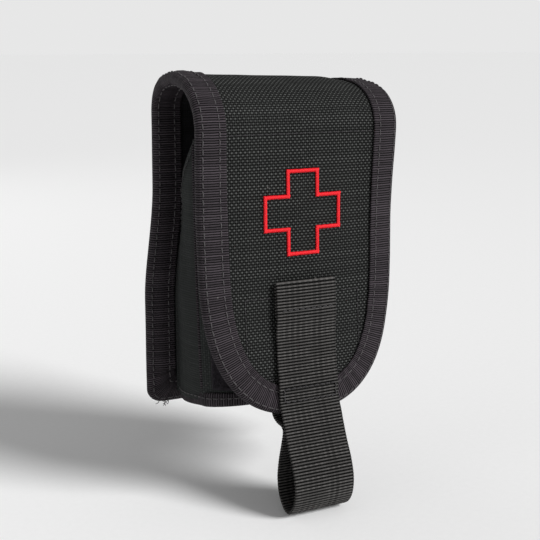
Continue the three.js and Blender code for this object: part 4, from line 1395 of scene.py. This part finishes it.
# ---- Belt loop ----
class POUCH_OT_belt_loop(PouchOperator, bpy.types.Operator):
    """Shape the belt loop behind the back panel and box-stitch its ends"""

    bl_idname = "pouch.belt_loop"
    bl_label = "Belt loop"

    def execute(self, context):
        box_low, box_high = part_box("belt_loop")
        half, end = box_high.x, box_high.z
        thick = 1.6 * MM
        near, far = box_low.y + thick / 2, box_high.y - thick / 2
        straight, rise = 30 * MM, 38 * MM
        path = Path(
            [(near, -end), (near, -rise)],
            bezier([(near, -rise), (near, -straight - 4 * MM), (far, -rise + 2 * MM), (far, -straight)], 30),
            np.linspace((far, -straight), (far, straight), 40),
            bezier([(far, straight), (far, rise - 2 * MM), (near, straight + 4 * MM), (near, rise)], 30),
            [(near, end)],
        )

        def ridge(x, s):
            turned = smoothstep(np.abs(x), half - 6.5 * MM, half - 5.8 * MM)
            return turned * 0.18 * MM + 0.06 * MM * ripple(x + 0 * s, s + 0 * x, 90, 7.0)

        loft = ribbon_loft(path, half, thick - 0.3 * MM, 130, 50, ridge=ridge)
        skin("belt_band", [loft], "ballistic", "root", "ballistic_nylon", "belt_loop")
        lofts = []
        out = np.array([0.0, 1.0, 0.0])
        face = near + thick / 2 + 0.1 * MM
        inset, foot = half - 2 * MM, end - 1.8 * MM
        box = [(-inset, foot), (inset, foot), (inset, rise + 0.6 * MM), (-inset, rise + 0.6 * MM)]
        lines = list(zip(box, box[1:] + box[:1])) + [(box[0], box[2]), (box[1], box[3])]
        for sign in (-1, 1):
            for number, ((xa, za), (xb, zb)) in enumerate(lines):
                t = np.linspace(0, 1, 30)
                points = np.stack([xa + (xb - xa) * t, np.full(30, face), sign * (za + (zb - za) * t)], -1)
                normals = np.tile(out, (30, 1))
                lofts += stitch_row(points, normals, 3 * MM, 0.26 * MM, seed=130 + number * 3 + sign)
        for side in (-1, 1):
            s = np.linspace(path.length * 0.12, path.length * 0.88, 120)
            point, turn = path.at(s)
            level = thick / 2 + 0.06 * MM
            x = np.full(120, side * (half - 5 * MM))
            points = np.stack([x, point[:, 0] + turn[:, 1] * level, point[:, 1] - turn[:, 0] * level], -1)
            normals = np.stack([np.zeros(120), turn[:, 1], -turn[:, 0]], -1)
            lofts += stitch_row(points, normals, 3 * MM, 0.24 * MM, seed=160 + side)
        skin("belt_band_stitches", lofts, "thread", "root", "ballistic_nylon")
        return {"FINISHED"}


# ---- Tourniquet ----
def band_path():
    """The band's folds behind the plate, then up, round the buckle's lower bar and down its front."""
    box_low = low("tourniquet_band")
    buckle_low, buckle_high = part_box("tourniquet_buckle")
    pitch, first, top, foot = 3.2 * MM, -6.5 * MM, 42 * MM, box_low.z + 2.3 * MM
    radius = pitch / 2
    parts = [[(first, top)]]
    for run in range(4):
        y, down = first - run * pitch, run % 2 == 0
        end = foot if down else top
        parts.append([(y, end)])
        if run < 3:
            turn = (0, -180) if down else (0, 180)
            parts.append(arc((y - radius, end), radius, *turn, 14))
    bar_z, bar_y = buckle_low.z + 1.2 * MM, (buckle_low.y + buckle_high.y) / 2
    bar = 3 * MM
    parts += [[(bar_y + bar, bar_z)], arc((bar_y, bar_z), bar, 0, 180, 18), [(bar_y - bar, 38 * MM)]]
    return Path(*parts)


def upright_loft(points, thickness, z_low, z_high, steps=70, columns=14):
    """A ribbon whose path is drawn in plan and whose width runs up the z axis."""
    path = spline(points, 20)
    s = np.linspace(0, path.length, steps)
    point, turn = path.at(s)
    normal = np.stack([-turn[:, 1], turn[:, 0]], -1)
    t = np.linspace(-1, 1, columns)
    rim = np.sqrt(np.clip(1 - np.abs(t) ** 7, 0, 1)) * thickness / 2
    z = (z_low + z_high) / 2 + (z_high - z_low) / 2 * t
    sides = []
    for side in (1, -1):
        plane = point[:, None] + side * normal[:, None] * rim[None, :, None]
        sides.append(np.concatenate([plane, np.broadcast_to(z[None, :, None], plane.shape[:2] + (1,))], -1))
    return two_faced(*sides, z[None, :], s[:, None])


class POUCH_OT_tourniquet_band(PouchOperator, bpy.types.Operator):
    """Fold the tourniquet's band and lay its inner and time straps"""

    bl_idname = "pouch.tourniquet_band"
    bl_label = "Tourniquet band"

    def execute(self, context):
        half = high("tourniquet_band").x
        path = band_path()
        loft = ribbon_loft(path, half, 1.2 * MM, 420, 22)
        skin("folded_band", [loft], "band", "root", "tourniquet_webbing", "tourniquet_band")
        tip = [(-6.5 * MM, 42.6 * MM), (-6.6 * MM, 50 * MM), (-8.2 * MM, 57 * MM), (-11.0 * MM, 62.2 * MM)]
        loft = ribbon_loft(spline(tip), half, 1.3 * MM, 40, 22)
        skin("band_pull_tip", [loft], "tip", "root", "red_webbing", "tourniquet_band_tip")
        rod_y = (low("tourniquet_windlass_rod").y + high("tourniquet_windlass_rod").y) / 2
        inner = [(-11, -18.4), (-11, -20.5), (-10, -24.5), (-7.5, -28)]
        inner = [(x * MM, y * MM) for x, y in inner] + [(-4.5 * MM, rod_y)]
        inner += [(0, rod_y)] + [(-x, y) for x, y in inner[::-1]]
        heights = [corner.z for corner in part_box("tourniquet_inner_strap")]
        loft = upright_loft(inner, 1.0 * MM, *heights)
        skin("inner_strap", [loft], "band", "root", "tourniquet_webbing", "tourniquet_inner_strap")
        time = [(-15.5, -22.2), (-12.5, -22.9), (-10.6, -25.5), (-9.9, -31), (-7, -36.2)]
        time = [(x * MM, y * MM) for x, y in time]
        time += [(0, -37.4 * MM)] + [(-x, y) for x, y in time[::-1]]
        heights = [corner.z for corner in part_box("tourniquet_time_strap")]
        loft = upright_loft(time, 0.8 * MM, *heights)
        skin("time_strap", [loft], "pale", "root", "pale_strap", "tourniquet_time_strap")
        return {"FINISHED"}


def refined_copy(node, name, width, look):
    """A moulded part with softened edges, from a merged copy of its CAD node."""
    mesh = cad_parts[node].data.copy()
    mesh.name = name
    work = bmesh.new()
    work.from_mesh(mesh)
    bmesh.ops.remove_doubles(work, verts=work.verts, dist=1e-6)
    bmesh.ops.dissolve_limit(work, angle_limit=math.radians(1), verts=work.verts, edges=work.edges)
    work.to_mesh(mesh)
    work.free()
    mesh.materials.clear()
    piece = new_object(name, mesh, material(look), "root", smooth=True)
    bpy.ops.object.select_all(action="DESELECT")
    piece.select_set(True)
    bpy.context.view_layer.objects.active = piece
    soften = piece.modifiers.new("Soft edges", "BEVEL")
    soften.width, soften.segments, soften.limit_method = width, 2, "ANGLE"
    soften.angle_limit = math.radians(35)
    bpy.ops.object.modifier_apply(modifier=soften.name)
    bpy.ops.object.shade_smooth_by_angle(angle=math.radians(40))
    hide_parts(node)
    return piece


class POUCH_OT_tourniquet_parts(PouchOperator, bpy.types.Operator):
    """Turn the windlass rod and soften the buckle, plate and clip"""

    bl_idname = "pouch.tourniquet_parts"
    bl_label = "Tourniquet mouldings"

    def execute(self, context):
        refined_copy("tourniquet_buckle", "buckle_moulding", 0.35 * MM, "moulded")
        refined_copy("tourniquet_stabiliser", "stabiliser_moulding", 0.3 * MM, "moulded")
        refined_copy("tourniquet_windlass_clip", "clip_moulding", 0.3 * MM, "moulded")
        self.turn_rod()
        return {"FINISHED"}

    def turn_rod(self):
        """Spins the rod's profile about its own axis and cuts its strap slot."""
        box_low, box_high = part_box("tourniquet_windlass_rod")
        axis_y = (box_low.y + box_high.y) / 2
        bottom, top, radius = box_low.z, box_high.z, 4.6 * MM
        end = box_high.x

        def rings(start):
            made = []
            for k in range(4):
                for step in np.linspace(0, math.pi, 7):
                    height = start + k * 6 * MM + 3 * MM * step / math.pi
                    made.append((radius + 0.5 * MM * math.sin(step), height))
            return made

        def knob(tip, way):
            turn = np.linspace(0, math.pi / 2, 7)
            return [(end * math.sin(a) ** 0.6, tip + way * 3.4 * MM * (1 - math.cos(a))) for a in turn]

        outline = knob(bottom, 1) + [(end, bottom + 5 * MM), (radius, bottom + 7.2 * MM)]
        outline += rings(bottom + 10 * MM) + [(radius, -13 * MM), (radius + 0.4 * MM, -11 * MM)]
        outline += [(radius + 0.4 * MM, 11 * MM), (radius, 13 * MM)] + rings(top - 31 * MM)
        outline += [(radius, top - 7.2 * MM), (end, top - 5 * MM)] + knob(top, -1)[::-1]
        sides = 56
        turn = np.linspace(0, 2 * math.pi, sides, endpoint=False)
        ring = np.stack([np.cos(turn), np.sin(turn)], -1)
        rows = np.array([
            [(max(r, 0.02 * MM) * c, axis_y + max(r, 0.02 * MM) * q, z) for c, q in ring] for r, z in outline
        ])
        v = np.array([z for _, z in outline])
        u = np.linspace(0, 2 * math.pi * radius, sides + 1)
        uv = np.stack(np.broadcast_arrays(u[None, :], v[:, None]), -1)
        piece = skin("windlass_rod", [loft_data(rows, uv)], "moulded", "root", "moulded_nylon")
        bpy.ops.object.select_all(action="DESELECT")
        bpy.ops.mesh.primitive_cube_add(size=1, location=(0, axis_y, 0))
        cutter = bpy.context.object
        cutter.scale = (20 * MM, 2.4 * MM, 21 * MM)
        bpy.ops.object.transform_apply(location=True, rotation=True, scale=True)
        cut = piece.modifiers.new("Strap slot", "BOOLEAN")
        cut.operation, cut.object, cut.solver = "DIFFERENCE", cutter, "EXACT"
        bpy.ops.object.select_all(action="DESELECT")
        piece.select_set(True)
        bpy.context.view_layer.objects.active = piece
        bpy.ops.object.modifier_apply(modifier=cut.name)
        bpy.data.objects.remove(cutter)
        bpy.ops.object.shade_smooth_by_angle(angle=math.radians(40))
        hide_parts("tourniquet_windlass_rod")


class POUCH_OT_loose_threads(PouchOperator, bpy.types.Operator):
    """Leave a few cut thread ends where the seams finish"""

    bl_idname = "pouch.loose_threads"
    bl_label = "Loose thread ends"

    def execute(self, context):
        chance = random.Random(7)
        lofts = []
        drift = ((-0.7, 0.7), (-0.6, 0.6), (-0.2, 0.5))
        starts = [(-WIDE_HALF + 7.5 * MM, -2.0 * MM, BACK_BOTTOM + 0.6 * MM)] * 9
        starts += [(WIDE_HALF - 8 * MM, -2.0 * MM, BACK_BOTTOM + 0.6 * MM)] * 4
        for x, y, z in starts:
            point = np.array([x + chance.uniform(-3.2, 3.2) * MM, y + chance.uniform(-1.5, 1) * MM, z])
            heading = np.array([chance.uniform(-0.5, 0.5), chance.uniform(-0.4, 0.4), -1.0])
            line = [point]
            for _ in range(7):
                heading += np.array([chance.uniform(*span) for span in drift])
                heading /= np.linalg.norm(heading)
                line.append(line[-1] + heading * chance.uniform(0.3, 0.55) * MM)
            lofts.append(tube_loft(close_points(line, 3), 0.14 * MM, 5))
        skin("cut_threads", lofts, "thread", "root", "binding_tape")
        return {"FINISHED"}


# ---- Stage ----
class POUCH_OT_stage(PouchOperator, bpy.types.Operator):
    """Set the floor, the lamps and the camera"""

    bl_idname = "pouch.stage"
    bl_label = "Floor, light and camera"

    def execute(self, context):
        self.make_floor()
        self.make_lights()
        self.make_camera()
        return {"FINISHED"}

    def make_floor(self):
        bpy.ops.object.select_all(action="DESELECT")
        bpy.ops.mesh.primitive_grid_add(
            x_subdivisions=24, y_subdivisions=24, size=30, location=(0, 0, FLOOR_Z)
        )
        floor = bpy.context.object
        floor.name = "floor"
        paper, n, shader = start_material("Pale paper", 0.9)
        coordinates = n.node("ShaderNodeTexCoord").outputs["Object"]
        tone = n.noise(coordinates, 400.0, 3.0)
        n.feed(shader.inputs["Base Color"], n.mix(tone, (0.86, 0.86, 0.86, 1), (0.9, 0.9, 0.9, 1)))
        floor.data.materials.append(paper)

    def make_lights(self):
        world = bpy.data.worlds.new("Studio")
        bpy.context.scene.world = world
        world.use_nodes = True
        n = Nodes(world.node_tree)
        back = world.node_tree.nodes["Background"]
        back.inputs["Color"].default_value = (1.0, 1.0, 1.0, 1)
        seen = n.node("ShaderNodeLightPath").outputs["Is Camera Ray"]
        n.feed(back.inputs["Strength"], n.math("ADD", n.math("MULTIPLY", seen, 0.5), 0.3))
        aim = Vector((0, -20 * MM, 0))
        lamps = [
            ("key", "SUN", (0.55, -0.8, 0.62), sizes().key_light),
            ("fill", "AREA", (-1.0, -0.12, 0.3), sizes().fill_power),
            ("rear", "AREA", (-0.3, 0.9, 0.45), sizes().fill_power),
        ]
        for name, kind, spot, strength in lamps:
            lamp = bpy.data.lights.new(name, kind)
            lamp.energy = strength
            if kind == "SUN":
                lamp.angle = math.radians(22)
            else:
                lamp.size = 0.6
            box = bpy.data.objects.new(name, lamp)
            box.location = spot
            box.rotation_euler = (aim - Vector(spot)).to_track_quat("-Z", "Y").to_euler()
            bpy.context.scene.collection.objects.link(box)

    def make_camera(self):
        data = bpy.data.cameras.new("Camera")
        data.lens, data.sensor_width = sizes().lens, 36
        camera = bpy.data.objects.new("Camera", data)
        target = Vector((-0.12 * MM, -20 * MM, -5.2 * MM))
        azimuth, elevation, distance = math.radians(-27.03), math.radians(12.0), 429.6 * MM
        back = Vector((
            math.sin(azimuth) * math.cos(elevation),
            -math.cos(azimuth) * math.cos(elevation),
            math.sin(elevation),
        ))
        camera.location = target + back * distance
        camera.rotation_euler = (-back).to_track_quat("-Z", "Y").to_euler()
        bpy.context.scene.collection.objects.link(camera)
        bpy.context.scene.camera = camera
        bpy.context.scene.view_settings.view_transform = "Standard"


class POUCH_PT_panel(bpy.types.Panel):
    """Sidebar panel with every step of the build and its settings"""

    bl_label = "Tourniquet Pouch"
    bl_idname = "POUCH_PT_panel"
    bl_space_type = "VIEW_3D"
    bl_region_type = "UI"
    bl_category = "Pouch"

    def draw(self, context):
        for operator in OPERATORS:
            self.layout.operator(operator.bl_idname)
        for owner in (context.scene.pouch_sizes, context.scene.pouch_colours):
            box = self.layout.box()
            for name in owner.__annotations__:
                box.prop(owner, name)


OPERATORS = (
    POUCH_OT_materials,
    POUCH_OT_cloth_layers,
    POUCH_OT_binding,
    POUCH_OT_flap_sewing,
    POUCH_OT_cross,
    POUCH_OT_pull_strap,
    POUCH_OT_pocket,
    POUCH_OT_bottom_tape,
    POUCH_OT_fasteners,
    POUCH_OT_belt_loop,
    POUCH_OT_tourniquet_band,
    POUCH_OT_tourniquet_parts,
    POUCH_OT_loose_threads,
    POUCH_OT_stage,
)
CLASSES = (PouchColours, PouchSizes, *OPERATORS, POUCH_PT_panel)


def register():
    for cls in CLASSES:
        bpy.utils.register_class(cls)
    bpy.types.Scene.pouch_colours = bpy.props.PointerProperty(type=PouchColours)
    bpy.types.Scene.pouch_sizes = bpy.props.PointerProperty(type=PouchSizes)


def unregister():
    del bpy.types.Scene.pouch_colours
    del bpy.types.Scene.pouch_sizes
    for cls in reversed(CLASSES):
        bpy.utils.unregister_class(cls)


def main():
    register()
    for operator in OPERATORS:
        group, name = operator.bl_idname.split(".")
        getattr(getattr(bpy.ops, group), name)()


if __name__ == "__main__":
    main()
